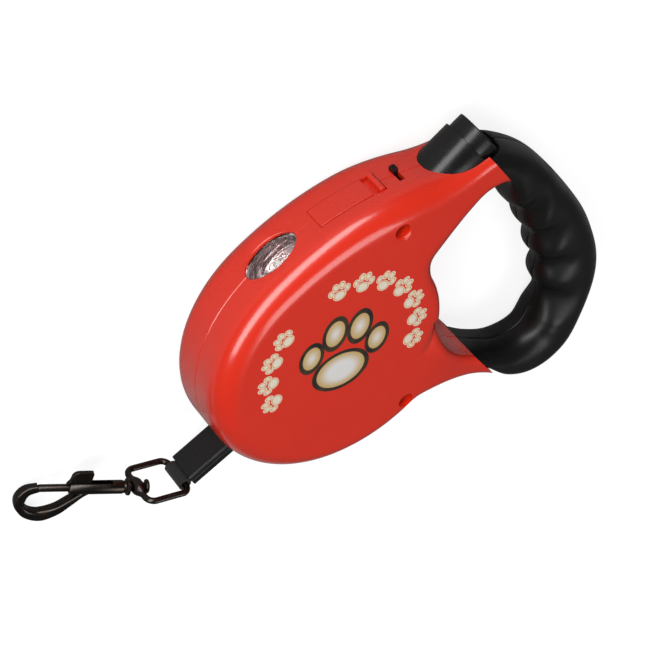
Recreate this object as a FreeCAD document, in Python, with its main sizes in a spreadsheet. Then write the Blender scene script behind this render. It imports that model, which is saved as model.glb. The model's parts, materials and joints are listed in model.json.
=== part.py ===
"""Retractable leash with a torch in its rim, lying on its rear face.

Frame: origin on the spool axis at the rear face, +Z out of the front face, +X towards
the hand grip, -X out of the tape nozzle, +Y towards the torch.  All sizes are millimetres.
"""
import FreeCAD, Part
import math
import os
import re

import Sketcher

os.makedirs("parts", exist_ok=True)
doc = FreeCAD.newDocument("retractable_leash")
Vector = FreeCAD.Vector
Z_AXIS = Vector(0, 0, 1)

SIZES = {
    # housing
    "disc_radius": 53.4,
    "crown_radius": 104.0,
    "throat_radius": 42.3,
    "disc_half": 16.0,
    "arm_half": 12.4,
    "wall": 2.2,
    "face_round": 7.0,
    "arm_round": 4.5,
    "shoulder_x": 64.0,
    "upper_end_x": 86.0,
    "upper_end_top": 17.5,
    "upper_end_low": -4.0,
    "upper_flank_radius": 60.0,
    "web_length": 14.0,
    "web_rise": 7.6,
    "web_radius": 16.0,
    "web_flank_radius": 120.0,
    "throat_corner_x": 47.3,
    "throat_corner_radius": 9.0,
    "lower_end_x": 31.0,
    "lower_end_top": -64.5,
    "lower_end_low": -83.5,
    "lower_inner_radius": 36.0,
    "lower_outer_radius": 60.0,
    "lower_root_x": 3.0,
    "post_wall": 1.2,
    # hand grip
    "grip_half": 12.0,
    "grip_round": 4.5,
    "core_radius": 3.4,
    "core_gap": 0.2,
    # brake button
    "button_y": 18.5,
    "sleeve_radius": 10.0,
    "sleeve_wall": 0.85,
    "sleeve_length": 17.0,
    "sleeve_setback": 2.0,
    "cap_gap": 0.3,
    "cap_length": 6.1,
    "cap_top": 2.4,
    "cap_chamfer": 0.5,
    "skirt_wall": 1.35,
    "button_travel": 4.2,
    "pawl_width": 3.0,
    "pawl_gap": 0.9,
    "pawl_clear": 0.05,
    "pawl_riser": 6.0,
    "pawl_heel": 7.0,
    "spring_radius": 4.6,
    "spring_wire": 0.7,
    "spring_turns": 7,
    "spring_rib": 2.0,
    "rib_back": 5.0,
    "rib_half": 7.0,
    "bay_length": 14.0,
    "bay_half": 9.0,
    # spool
    "axle_radius": 3.0,
    "running_gap": 0.05,
    "tape_width": 10.6,
    "tape_thick": 0.95,
    "coil_radius": 34.0,
    "hub_radius": 13.0,
    "flange_radius": 38.0,
    "flange_thick": 1.4,
    "flange_gap": 0.4,
    "notch_count": 18,
    "notch_width": 6.8,
    "notch_depth": 3.8,
    "cup_radius": 29.2,
    "cup_wall": 1.2,
    "cover_thick": 0.5,
    "cover_gap": 0.6,
    "washer_thick": 0.4,
    "boss_radius": 5.0,
    "mainspring_thick": 0.5,
    "mainspring_turns": 9,
    # tape outlet
    "eye_reach": 21.2,
    "eye_y": 0.4,
    "tape_angle": 7.0,
    "nozzle_reach": 2.6,
    "nozzle_length": 22.7,
    "nozzle_skin": 1.4,
    "nozzle_side": 0.85,
    "nozzle_lip": 1.6,
    "lip_thick": 1.1,
    "slot_gap": 0.35,
    "guide_pin_radius": 1.5,
    "lead_length": 40.3,
    "sewn_length": 14.0,
    # ring and snap hook
    "ring_wire": 1.25,
    "ring_play": 2.4,
    "ring_corner": 2.6,
    "ring_length": 17.3,
    "ring_angle": 132.0,
    "eye_gap": 0.3,
    "snap_droop": 18.6,
    "swivel_radius": 1.5,
    "swivel_gap": 0.2,
    "swivel_head_rim": 1.1,
    "swivel_head_length": 1.6,
    "ring_boss_radius": 3.2,
    "ring_boss_length": 5.2,
    "barrel_radius": 2.7,
    "collar_rim": 0.5,
    "collar_length": 1.4,
    "barrel_start": 5.0,
    "barrel_end": 24.0,
    "bolt_radius": 1.4,
    "bolt_gap": 0.1,
    "bolt_start": 17.0,
    "bolt_end": 36.4,
    "tab_start": 17.6,
    "tab_length": 5.6,
    "tab_height": 4.9,
    "tab_thick": 1.6,
    "bolt_travel": 8.0,
    "bolt_spring_radius": 0.95,
    "bolt_spring_wire": 0.35,
    "bolt_spring_turns": 5,
    "hook_wire": 2.1,
    # torch and battery bay
    "lens_angle": 4.94,
    "lens_length": 22.0,
    "lens_width": 11.5,
    "lens_inset": 0.6,
    "lens_thick": 1.8,
    "lens_round": 0.8,
    "dish_inset": 2.5,
    "dish_depth": 8.0,
    "dish_rim": 1.0,
    "lamp_radius": 1.5,
    "lamp_inset": 10.5,
    "board_thick": 1.0,
    "door_angle": 21.9,
    "door_half_width": 4.7,
    "door_left": 11.4,
    "door_right": 15.4,
    "door_thick": 1.5,
    "door_proud": 0.2,
    "door_tab_length": 2.4,
    "door_tab_height": 0.6,
    "cell_radius": 3.95,
    "cell_length": 3.6,
    "cell_count": 4,
    "holder_wall": 0.8,
    "cell_gap": 0.2,
    "door_clear": 1.3,
    "switch_angle": 34.6,
    "switch_travel": 4.0,
    "knob_length": 3.0,
    "knob_width": 2.0,
    "knob_height": 1.6,
    "fit_gap": 0.1,
    # screws
    "screw_radius": 1.4,
    "screw_head": 2.7,
    "head_length": 2.0,
    "shank_length": 15.5,
    "seat_height": 6.0,
    "recess_radius": 3.0,
    "upper_screw_x": 46.5,
    "upper_screw_y": 29.2,
    "lower_screw_x": 1.5,
    "lower_screw_inset": 6.0,
}

# Places and sizes that follow from the ones above.
SEAM = "disc_half"
CROWN_Y = "(disc_radius - crown_radius)"
EYE_X = "(-disc_radius - eye_reach)"
STACK = "(tape_width / 2 + flange_gap)"
CUP_DEPTH = f"(disc_half - wall - cover_gap - cover_thick - flange_thick - {STACK})"
REAR_FLANGE = f"({SEAM} - {STACK} - flange_thick)"
FRONT_FLANGE = f"({SEAM} + {STACK})"
AXLE_BORE = "(axle_radius + running_gap)"
SLEEVE_END = "(upper_end_x - sleeve_setback)"
SLEEVE_START = f"({SLEEVE_END} - sleeve_length)"
SLEEVE_BORE = "(sleeve_radius - sleeve_wall)"
CAP_RADIUS = f"({SLEEVE_BORE} - cap_gap)"
CAP_END = f"({SLEEVE_END} + cap_length)"
NOZZLE_THICK = "(2 * (tape_thick + slot_gap + nozzle_skin))"
NOZZLE_WIDTH = "(tape_width + 2 * (slot_gap + nozzle_side))"
RING_WIDTH = "(tape_width + 2 * (ring_wire + ring_play))"
STEM_HALF = "(ring_boss_length / 2 + 0.2)"
DOOR_ROLL = "((door_thick + door_proud) / 2)"
SCREWS = (("upper", "upper_screw_x", "upper_screw_y"),
          ("lower", "lower_screw_x", "lower_screw_inset - disc_radius"))

sheet = doc.addObject("Spreadsheet::Sheet", "Sizes")
for line, (alias, value) in enumerate(SIZES.items(), start=1):
    sheet.set(f"A{line}", alias)
    sheet.set(f"B{line}", str(value))
    sheet.setAlias(f"B{line}", alias)
doc.recompute()

NODES = []


def linked(expression):
    """The expression with each size's name written as a reference to the sheet."""
    return re.sub(r"[a-z_]+", lambda word: ("Sizes." if word[0] in SIZES else "") + word[0], expression)


def size(expression):
    """The value of an expression of sizes."""
    value = sheet.evalExpression(linked(str(expression)))
    return float(getattr(value, "Value", value))


def bind(thing, properties):
    """Tie properties of a document object to expressions of the sheet's sizes."""
    for path, expression in properties.items():
        thing.setExpression(path, linked(str(expression)))
    return thing


def node(thing, name):
    """Give the object its own label and list it as a piece of the leash."""
    thing.Label = name
    NODES.append(thing)
    return thing


def place(thing, x=0, y=0, z=0, angle=None, axis=Z_AXIS):
    """Put an object at a bound place, turned by a bound angle about an axis."""
    if angle is not None:
        thing.Placement = FreeCAD.Placement(Vector(0, 0, 0), FreeCAD.Rotation(axis, 1))
        thing.setExpression("Placement.Rotation.Angle", linked(str(angle)))
    return bind(thing, {"Placement.Base.x": x, "Placement.Base.y": y, "Placement.Base.z": z})


# ---- primitives ----

def solid_box(name, low, high):
    """A box between two corners given as expressions."""
    spans = [f"({top}) - ({bottom})" for bottom, top in zip(low, high)]
    made = bind(doc.addObject("Part::Box", name), dict(zip(("Length", "Width", "Height"), spans)))
    return place(made, *low)


def solid_cylinder(name, radius, height, base, along="z"):
    """A cylinder from a base point along z, or turned to run along x or y."""
    made = bind(doc.addObject("Part::Cylinder", name), {"Radius": radius, "Height": height})
    turns = {"x": (Vector(0, 1, 0), 90), "y": (Vector(1, 0, 0), -90)}
    if along in turns:
        axis, angle = turns[along]
        made.Placement = FreeCAD.Placement(Vector(0, 0, 0), FreeCAD.Rotation(axis, angle))
    return bind(made, dict(zip(("Placement.Base.x", "Placement.Base.y", "Placement.Base.z"), base)))


def solid_sphere(name, radius, centre):
    """A whole ball about a centre."""
    return place(bind(doc.addObject("Part::Sphere", name), {"Radius": radius}), *centre)


def joined(name, pieces):
    """One solid from pieces that overlap."""
    made = doc.addObject("Part::MultiFuse", name)
    made.Shapes = pieces
    made.Refine = True
    return made


def without(name, base, tools):
    """The base with every tool's shape taken away."""
    made = doc.addObject("Part::Cut", name)
    made.Base = base
    made.Tool = tools[0] if len(tools) == 1 else joined(name + "_tools", tools)
    return made


def shared(name, first, second):
    """What two shapes have in common."""
    made = doc.addObject("Part::Common", name)
    made.Base = first
    made.Tool = second
    return made


def gathered(name, pieces):
    """Separate solids kept together in one piece."""
    made = doc.addObject("Part::Compound", name)
    made.Links = pieces
    return made


# ---- sketches and features ----

def new_body(name):
    return doc.addObject("PartDesign::Body", name)


def new_sketch(body, name, plane="XY_Plane", lift="0"):
    """A sketch on one of the body's own origin planes, lifted off it by an expression."""
    sketch = body.newObject("Sketcher::SketchObject", name)
    origin = [feature for feature in body.Origin.OriginFeatures if feature.Role == plane]
    sketch.AttachmentSupport = (origin[0], "")
    sketch.MapMode = "FlatFace"
    sketch.setExpression("AttachmentOffset.Base.z", linked(lift))
    return sketch


def bound_point(sketch, geometry, point, x, y):
    """Hold a point of the sketch at two bound coordinates."""
    for kind, expression in (("DistanceX", x), ("DistanceY", y)):
        number = sketch.addConstraint(Sketcher.Constraint(kind, geometry, point, size(expression)))
        sketch.setExpression(f"Constraints[{number}]", linked(str(expression)))


def bound_radius(sketch, geometry, radius):
    number = sketch.addConstraint(Sketcher.Constraint("Radius", geometry, size(radius)))
    sketch.setExpression(f"Constraints[{number}]", linked(str(radius)))


def add_circle(sketch, x, y, radius):
    centre = Vector(size(x), size(y), 0)
    circle = sketch.addGeometry(Part.Circle(centre, Z_AXIS, size(radius)), False)
    bound_point(sketch, circle, 3, x, y)
    bound_radius(sketch, circle, radius)


def arc_angles(start, end, centre, bulge):
    """Angles of an arc about +Z, run anticlockwise whichever way the outline goes."""
    first, last = (start, end) if bulge > 0 else (end, start)
    angles = [math.atan2(point.y - centre.y, point.x - centre.x) for point in (first, last)]
    return angles[0], angles[1] + (2 * math.pi if angles[1] < angles[0] else 0)


def oriented_arc(start, end, radius, bulge):
    """An arc of a circle through two points, and whether it runs from start to end."""
    chord = end - start
    side = Vector(chord.y, -chord.x, 0).normalize() * bulge
    centre = (start + end) * 0.5 - side * math.sqrt(radius ** 2 - (chord.Length / 2) ** 2)
    low, high = arc_angles(start, end, centre, bulge)
    return Part.ArcOfCircle(Part.Circle(centre, Z_AXIS, radius), low, high), bulge > 0


def add_outline(sketch, corners):
    """A closed outline.  Each corner is (x, y) or, before an arc, (x, y, radius, bulge)."""
    points = [Vector(size(corner[0]), size(corner[1]), 0) for corner in corners]
    ends = []
    for number, corner in enumerate(corners):
        start, end = points[number], points[(number + 1) % len(points)]
        if len(corner) == 2:
            made = sketch.addGeometry(Part.LineSegment(start, end), False)
            ends.append((made, 1, 2))
            continue
        curve, forward = oriented_arc(start, end, size(corner[2]), corner[3])
        made = sketch.addGeometry(curve, False)
        ends.append((made, 1, 2) if forward else (made, 2, 1))
    for number, corner in enumerate(corners):
        before, here = ends[number - 1], ends[number]
        sketch.addConstraint(Sketcher.Constraint("Coincident", before[0], before[2], here[0], here[1]))
        bound_point(sketch, here[0], here[1], corner[0], corner[1])
        if len(corner) == 4:
            bound_radius(sketch, here[0], corner[2])


def add_curve(sketch, points):
    """A smooth curve through points given as expressions."""
    curve = Part.BSplineCurve()
    curve.interpolate([Vector(size(x), size(y), 0) for x, y in points])
    return sketch.addGeometry(curve, False)


def pad(body, sketch, length, reverse=False, middle=False):
    made = body.newObject("PartDesign::Pad", sketch.Name + "_pad")
    made.Profile = sketch
    made.Reversed = reverse
    made.Midplane = middle
    return bind(made, {"Length": length})


def pocket(body, sketch, length, reverse=False, middle=False):
    made = body.newObject("PartDesign::Pocket", sketch.Name + "_pocket")
    made.Profile = sketch
    made.Reversed = reverse
    made.Midplane = middle
    return bind(made, {"Length": length})


def turned(body, sketch, kind="PartDesign::Revolution"):
    """A full turn of the sketch about its own vertical axis."""
    made = body.newObject(kind, sketch.Name + "_turn")
    made.Profile = sketch
    made.ReferenceAxis = (sketch, ["V_Axis"])
    made.Angle = 360
    return made


def rounded(body, base, radius, wanted):
    """Round the base's edges that pass a test on their middle point and ends."""
    doc.recompute()
    names = [f"Edge{number}" for number, edge in enumerate(base.Shape.Edges, start=1) if wanted(edge)]
    made = body.newObject("PartDesign::Fillet", base.Name + "_round")
    made.Base = (base, names)
    return bind(made, {"Radius": radius})


def level(edge, height):
    """Whether an edge lies flat at a height."""
    box = edge.BoundBox
    return abs(box.ZMin - height) < 1e-3 and abs(box.ZMax - height) < 1e-3


# ---- housing ----

def crown_height(x, inset="0"):
    """Height of the crown's arc, or of one inset from it, at a distance right of the spool axis."""
    return f"sqrt((crown_radius - {inset})^2 - ({x})^2) + {CROWN_Y}"


def throat_point(degrees, inset="0"):
    """The throat circle's point at an angle below the +X axis."""
    reach = f"(throat_radius - {inset})"
    return f"{reach} * cos({degrees})", f"-{reach} * sin({degrees})"


def upper_arm_outline():
    """Corners of the arm that carries the brake button, clockwise from its root."""
    return [
        ("shoulder_x - 6", "upper_end_top + 8.5"),
        ("shoulder_x", crown_height("shoulder_x") + " - 0.5", "upper_flank_radius", 1),
        ("upper_end_x", "upper_end_top"),
        ("upper_end_x", "upper_end_low", "web_radius", 1),
        ("upper_end_x - web_length", "upper_end_low + web_rise", "web_flank_radius", 1),
        ("throat_corner_x", "upper_end_low + 4.3"),
    ]


def lower_arm_outline():
    """Corners of the arm that meets the bottom of the hand grip, clockwise from its root."""
    return [
        throat_point(40) + ("lower_inner_radius", 1),
        ("lower_end_x", "lower_end_top"),
        ("lower_end_x", "lower_end_low", "lower_outer_radius", 1),
        ("lower_root_x + 0.5", "0.4 - sqrt(disc_radius^2 - lower_root_x^2)"),
        ("lower_root_x + 5", "9 - disc_radius"),
        throat_point(54, "5"),
    ]


def disc_outline():
    """Corners of the full-depth disc that stands proud of the lower arm."""
    return [
        ("0", "disc_radius", "crown_radius", -1),
        ("shoulder_x + 2", crown_height("(shoulder_x + 2)")),
        ("shoulder_x - 2", "upper_end_low + 12"),
        ("throat_corner_x", "upper_end_low + 3.8", "throat_corner_radius", 1),
        throat_point(6) + ("throat_radius", -1),
        throat_point(62),
        ("lower_root_x", "-sqrt(disc_radius^2 - lower_root_x^2)", "disc_radius", -1),
        ("-disc_radius", "0", "disc_radius", -1),
    ]


def cavity_outline():
    """Corners of the hollow that holds the spool, the torch and the brake."""
    end = f"({SLEEVE_START} - 6)"
    return [
        ("0", "disc_radius - wall", "crown_radius - wall", -1),
        (end, crown_height(end, "wall")),
        (f"{end} - 4", "button_y - 9"),
        ("throat_corner_x + 1", "upper_end_low + 4.8 + wall"),
        throat_point(0, "wall") + ("throat_radius - wall", -1),
        throat_point(62, "wall"),
        ("lower_root_x", "-sqrt((disc_radius - wall)^2 - lower_root_x^2)", "disc_radius - wall", -1),
        ("-(disc_radius - wall)", "0", "disc_radius - wall", -1),
    ]


def moulded(name, outline, depth, radius, front, wanted):
    """A block padded from the seam outwards, with the chosen edges of its face rounded."""
    body = new_body(name)
    sketch = new_sketch(body, name + "_outline", lift=SEAM)
    add_outline(sketch, outline)
    block = pad(body, sketch, depth, reverse=not front)
    face = size(f"{SEAM} + ({1 if front else -1}) * {depth}")
    rounded(body, block, radius, lambda edge: level(edge, face) and wanted(edge))
    return body


def any_edge(edge):
    """Every edge of a face is rounded."""
    return True


def flank(edge):
    """Only an arm's curved flanks: not its flat end or the root inside the disc."""
    return edge.Curve.TypeId == "Part::GeomCircle"


def shell(name, front):
    """One half of the housing: disc and two arms, hollowed, with posts and an axle boss."""
    out = 1 if front else -1
    solids = [
        moulded(name + "_disc", disc_outline(), "disc_half", "face_round", front, any_edge),
        moulded(name + "_upper_arm", upper_arm_outline(), "arm_half", "arm_round", front, flank),
        moulded(name + "_lower_arm", lower_arm_outline(), "arm_half", "arm_round", front, flank),
    ]
    hollow = new_body(name + "_hollow")
    cavity = new_sketch(hollow, name + "_cavity", lift=SEAM)
    add_outline(cavity, cavity_outline())
    pad(hollow, cavity, "disc_half - wall", reverse=not front)
    bay = new_sketch(hollow, name + "_brake_bay", lift=SEAM)
    bay_start, bay_end = f"{SLEEVE_START} - bay_length", f"{SLEEVE_START} - wall"
    add_outline(bay, [(bay_start, "button_y + bay_half"), (bay_end, "button_y + bay_half"),
                      (bay_end, "button_y - bay_half"), (bay_start, "button_y - bay_half")])
    pad(hollow, bay, "arm_half - wall", reverse=not front)
    case = without(name + "_case", joined(name + "_solid", solids), [hollow])
    face = f"({SEAM} + ({out}) * (disc_half - wall / 2))"
    boss_top = f"({SEAM} + ({out}) * ({STACK} + flange_thick + washer_thick + 0.1))"
    low, high = (boss_top, face) if front else (face, boss_top)
    post_low, post_high = (SEAM, face) if front else (face, SEAM)
    fittings = [solid_cylinder(name + "_boss", "boss_radius", f"{high} - {low}", ("0", "0", low))]
    for spot, x, y in SCREWS:
        fittings.append(solid_cylinder(f"{name}_{spot}_post", "recess_radius + post_wall",
                                       f"{post_high} - {post_low}", (x, y, post_low)))
    if not front:
        rib_end = f"{SLEEVE_START} - rib_back"
        fittings.append(solid_box("spring_rib", (f"{rib_end} - spring_rib", "button_y - rib_half", "wall / 2"),
                                  (rib_end, "button_y + rib_half", f"{SEAM} + spring_radius")))
    return joined(name + "_body", [case] + fittings)


def rim_frame(thing, angle):
    """Carry a piece built about the crown's centre round the rim by an angle."""
    return place(thing, "0", CROWN_Y, SEAM, f"360 - {angle}")


def rim_box(name, angle, low, high):
    """A box in the rim's own frame: x along the rim, y outwards from its arc, z across."""
    corners = [(along, f"crown_radius + ({out})", across) for along, out, across in (low, high)]
    return rim_frame(gathered(name, [solid_box(name + "_blank", *corners)]), angle)


def tape_frame(thing):
    """Carry a piece built about the tape's end eye to its place; x runs out along the tape."""
    return place(thing, EYE_X, "eye_y", SEAM, "180 - tape_angle")


def tape_box(name, low, high):
    return tape_frame(gathered(name, [solid_box(name + "_blank", low, high)]))


def oval(body, name, lift, length, width, depth, grow="0"):
    """An oval block in the rim's frame, from a lift above the crown's centre inwards."""
    sketch = new_sketch(body, name, plane="XZ_Plane", lift=f"-({lift})")
    major = Vector(size(f"({length}) / 2 + {grow}"), 0, 0)
    minor = Vector(0, size(f"({width}) / 2 + {grow}"), 0)
    sketch.addGeometry(Part.Ellipse(major, minor, Vector(0, 0, 0)), False)
    made = pad(body, sketch, depth)
    return made


def housing_cutters():
    """Everything that both halves of the housing make room for."""
    lens_body = new_body("lens_opening")
    oval(lens_body, "lens_opening_outline", "crown_radius + 2", "lens_length", "lens_width", "6", "fit_gap")
    rim_frame(lens_body, "lens_angle")
    half = "door_half_width + fit_gap"
    half_slot = "(switch_travel + knob_length) / 2 + 0.3"
    axis = ("button_y", SEAM)
    return [
        solid_cylinder("sleeve_pocket", "sleeve_radius + fit_gap", "sleeve_length * 2",
                       (SLEEVE_START,) + axis, "x"),
        solid_cylinder("button_passage", SLEEVE_BORE, "wall + 2",
                       (f"{SLEEVE_START} - wall - 1",) + axis, "x"),
        tape_box("nozzle_opening",
                 ("-nozzle_reach - nozzle_length - 2.5", f"-{NOZZLE_THICK} / 2 - fit_gap",
                  f"-{NOZZLE_WIDTH} / 2 - fit_gap"),
                 ("0", f"{NOZZLE_THICK} / 2 + fit_gap", f"{NOZZLE_WIDTH} / 2 + fit_gap")),
        lens_body,
        rim_box("door_opening", "door_angle", ("-door_left - fit_gap", "-6", f"-({half})"),
                ("door_right + 0.6", "4", half)),
        rim_box("switch_slot", "switch_angle", ("-knob_width / 2 - 0.15", "-6", f"-({half_slot})"),
                ("knob_width / 2 + 0.15", "4", half_slot)),
    ]


def screw_holes(front):
    """Recesses and shank holes for the two housing screws, driven from the front."""
    tools = []
    pilot = "(shank_length - seat_height + 0.5)"
    for spot, x, y in SCREWS:
        if front:
            tools.append(solid_cylinder(f"{spot}_recess", "recess_radius", "disc_half",
                                        (x, y, f"{SEAM} + seat_height")))
            tools.append(solid_cylinder(f"{spot}_front_hole", "screw_radius + fit_gap", "disc_half",
                                        (x, y, SEAM)))
        else:
            tools.append(solid_cylinder(f"{spot}_pilot_hole", "screw_radius", pilot,
                                        (x, y, f"{SEAM} - {pilot}")))
    return tools


def axle_seat(front):
    """The blind hole in a half's boss that holds the end of the axle."""
    low = SEAM if front else "wall"
    return solid_cylinder("axle_seat", "axle_radius", "disc_half - wall", ("0", "0", low))


def housing():
    """Both halves, each cut by the shared openings, the handle core and the screw holes."""
    openings = housing_cutters()
    for name, front in (("front_shell", True), ("rear_shell", False)):
        own = [core_path_body(name + "_core_space", "core_gap"), axle_seat(front)] + screw_holes(front)
        node(without(name, shell(name, front), openings + own), name)


# ---- hand grip ----

GRIP_OUTER = [
    ("upper_end_x", "upper_end_top - 0.5"), ("upper_end_x + 8", "upper_end_top - 10.5"),
    ("upper_end_x + 14", "upper_end_low - 8"), ("upper_end_x + 15", "upper_end_low - 40"),
    ("upper_end_x + 12.5", "upper_end_low - 62"), ("upper_end_x + 4", "lower_end_low - 5"),
    ("lower_end_x + 37", "lower_end_low - 24.5"), ("lower_end_x + 23", "lower_end_low - 29"),
    ("lower_end_x + 11", "lower_end_low - 25"), ("lower_end_x + 3", "lower_end_low - 14.5"),
    ("lower_end_x", "lower_end_low + 0.5"),
]
GRIP_INNER = [
    ("upper_end_x", "upper_end_low + 0.5"), ("upper_end_x - 3.5", "upper_end_low - 8"),
    ("upper_end_x - 5.5", "upper_end_low - 17"), ("upper_end_x - 4", "upper_end_low - 25"),
    ("upper_end_x - 7", "upper_end_low - 34"), ("upper_end_x - 6.5", "upper_end_low - 42.5"),
    ("upper_end_x - 11", "upper_end_low - 51"), ("upper_end_x - 11.5", "lower_end_top + 1.5"),
    ("upper_end_x - 17", "lower_end_top - 6"), ("upper_end_x - 19.5", "lower_end_top - 14.5"),
    ("lower_end_x + 27", "lower_end_top - 22"), ("lower_end_x + 19", "lower_end_top - 24.5"),
    ("lower_end_x + 10", "lower_end_top - 19.5"), ("lower_end_x + 4", "lower_end_top - 9.5"),
    ("lower_end_x", "lower_end_top - 0.5"),
]
CORE_LINE = [
    ("upper_end_x - 6", "upper_end_low + 6"), ("upper_end_x + 1", "upper_end_low + 4"),
    ("upper_end_x + 5", "upper_end_low - 6"), ("upper_end_x + 5", "upper_end_low - 31"),
    ("upper_end_x + 2.5", "upper_end_low - 54"), ("upper_end_x - 5", "lower_end_low + 6.5"),
    ("lower_end_x + 37", "lower_end_low - 9.5"), ("lower_end_x + 23", "lower_end_low - 17"),
    ("lower_end_x + 11", "lower_end_low - 11.5"), ("lower_end_x + 2", "lower_end_low + 2"),
    ("lower_end_x - 4", "lower_end_low + 13.5"),
]


def core_path_body(name, gap):
    """A round bar along the handle's centre line, larger than the core by a gap."""
    body = new_body(name)
    path = new_sketch(body, name + "_line", lift=SEAM)
    add_curve(path, CORE_LINE)
    section = new_sketch(body, name + "_section", plane="YZ_Plane", lift=CORE_LINE[0][0])
    add_circle(section, CORE_LINE[0][1], SEAM, f"core_radius + {gap}")
    pipe = body.newObject("PartDesign::AdditivePipe", name + "_pipe")
    pipe.Profile = section
    pipe.Spine = path
    return body


def grip(name, front):
    """One rubber half of the handle, with four finger hollows on its inner side."""
    body = new_body(name + "_moulding")
    sketch = new_sketch(body, name + "_outline", lift=SEAM)
    add_curve(sketch, GRIP_OUTER)
    add_curve(sketch, GRIP_INNER)
    for first, last in ((0, 0), (-1, -1)):
        start = Vector(size(GRIP_OUTER[first][0]), size(GRIP_OUTER[first][1]), 0)
        end = Vector(size(GRIP_INNER[last][0]), size(GRIP_INNER[last][1]), 0)
        sketch.addGeometry(Part.LineSegment(start, end), False)
    block = pad(body, sketch, "grip_half", reverse=not front)
    out = 1 if front else -1
    grip_level = size(f"{SEAM} + ({out}) * grip_half")
    rounded(body, block, "grip_round",
            lambda edge: level(edge, grip_level) and edge.Curve.TypeId == "Part::GeomBSplineCurve")
    tools = [core_path_body(name + "_bore", "core_gap"),
             solid_cylinder(name + "_button_room", "sleeve_radius + fit_gap", "cap_length - 0.5",
                            ("upper_end_x - 1", "button_y", SEAM), "x"),
             solid_box(name + "_upper_trim", ("upper_end_x - 12", "upper_end_low + 0.3", "0"),
                       ("upper_end_x", "upper_end_top + 5", "2 * disc_half")),
             solid_box(name + "_lower_trim", ("lower_end_x - 12", "lower_end_low - 12", "0"),
                       ("lower_end_x", "lower_end_top + 5", "2 * disc_half"))]
    node(without(name, body, tools), name)


# ---- spool, spring and brake ----

def spool():
    """Hub, rear flange and the cup that holds the mainspring, turned as one piece."""
    body = new_body("spool_turning")
    section = new_sketch(body, "spool_section", plane="XZ_Plane")
    low, high, floor = REAR_FLANGE, FRONT_FLANGE, f"{REAR_FLANGE} + flange_thick"
    add_outline(section, [
        (AXLE_BORE, low), ("cup_radius - cup_wall", low), ("cup_radius - cup_wall", f"{low} - {CUP_DEPTH}"),
        ("cup_radius", f"{low} - {CUP_DEPTH}"), ("cup_radius", low), ("flange_radius", low),
        ("flange_radius", floor), ("hub_radius", floor), ("hub_radius", high),
        ("hub_radius - 1.5", high), ("hub_radius - 1.5", floor), ("boss_radius", floor),
        ("boss_radius", high), (AXLE_BORE, high),
    ])
    turned(body, section)
    return node(body, "spool")


def ratchet_flange():
    """The front flange, notched round its rim for the brake pawl."""
    body = new_body("ratchet_flange")
    disc = new_sketch(body, "ratchet_disc", lift=FRONT_FLANGE)
    add_circle(disc, "0", "0", "flange_radius")
    add_circle(disc, "0", "0", AXLE_BORE)
    pad(body, disc, "flange_thick")
    notch = new_sketch(body, "ratchet_notch", lift=FRONT_FLANGE)
    inner, outer = "flange_radius - notch_depth", "flange_radius + 1"
    add_outline(notch, [(inner, "notch_width / 2"), (outer, "notch_width / 2"),
                        (outer, "-notch_width / 2"), (inner, "-notch_width / 2")])
    cut = pocket(body, notch, "flange_thick", reverse=True)
    doc.recompute()
    pattern = body.newObject("PartDesign::PolarPattern", "ratchet_notches")
    pattern.Originals = [cut]
    pattern.Axis = (notch, ["N_Axis"])
    pattern.Angle = 360
    bind(pattern, {"Occurrences": "notch_count"})
    body.Tip = pattern
    place(body, "0", "0", "0", "asin(button_y / flange_radius)")
    return node(body, "ratchet_flange")


def ring_plate(name, outer, inner, low, height):
    """A flat ring about the spool axis."""
    return without(name, solid_cylinder(name + "_disc", outer, height, ("0", "0", low)),
                   [solid_cylinder(name + "_bore", inner, height, ("0", "0", low))])


def mainspring():
    """A flat spiral of half-circle arcs, from the rear boss out to the cup's wall."""
    thick, turns = size("mainspring_thick"), int(size("mainspring_turns"))
    first, last = size("boss_radius + 0.4"), size("cup_radius - cup_wall - 0.3")
    step = (last - first - thick) / (2 * turns)

    def spiral(start):
        edges, here = [], Vector(start, 0, 0)
        for half in range(2 * turns):
            reach = start + step * (half + 1)
            across = Vector(reach * (-1) ** (half + 1), 0, 0)
            top = (here + across) * 0.5 + Vector(0, (here - across).Length / 2 * (-1) ** half, 0)
            edges.append(Part.Arc(here, top, across).toShape())
            here = across
        return edges, here

    inner, inner_end = spiral(first)
    outer, outer_end = spiral(first + thick)
    ends = [Part.makeLine(inner_end, outer_end),
            Part.makeLine(Vector(first + thick, 0, 0), Vector(first, 0, 0))]
    strip = Part.Face(Part.Wire(Part.sortEdges(inner + outer + ends)[0]))
    made = doc.addObject("Part::Feature", "mainspring")
    made.Shape = strip.extrude(Vector(0, 0, size(f"{CUP_DEPTH} - 0.6")))
    place(made, "0", "0", f"{REAR_FLANGE} - {CUP_DEPTH} + 0.3")
    return node(made, "mainspring")


def spool_group():
    spool()
    ratchet_flange()
    node(ring_plate("tape_coil", "coil_radius", "hub_radius + 0.05", f"{SEAM} - tape_width / 2 + 0.1",
                    "tape_width - 0.2"), "tape_coil")
    mainspring()
    cover_low = f"{REAR_FLANGE} - {CUP_DEPTH} - cover_thick"
    node(ring_plate("spring_cover", "cup_radius", "boss_radius + 0.7", cover_low, "cover_thick"),
         "spring_cover")
    node(solid_cylinder("spool_axle", "axle_radius", "2 * (disc_half - wall)", ("0", "0", "wall")),
         "spool_axle")
    washers = [ring_plate("rear_washer", "boss_radius", AXLE_BORE, f"{REAR_FLANGE} - washer_thick - 0.1",
                          "washer_thick"),
               ring_plate("front_washer", "boss_radius", AXLE_BORE, f"{FRONT_FLANGE} + flange_thick + 0.1",
                          "washer_thick")]
    node(gathered("thrust_washers", washers), "thrust_washers")


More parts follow.
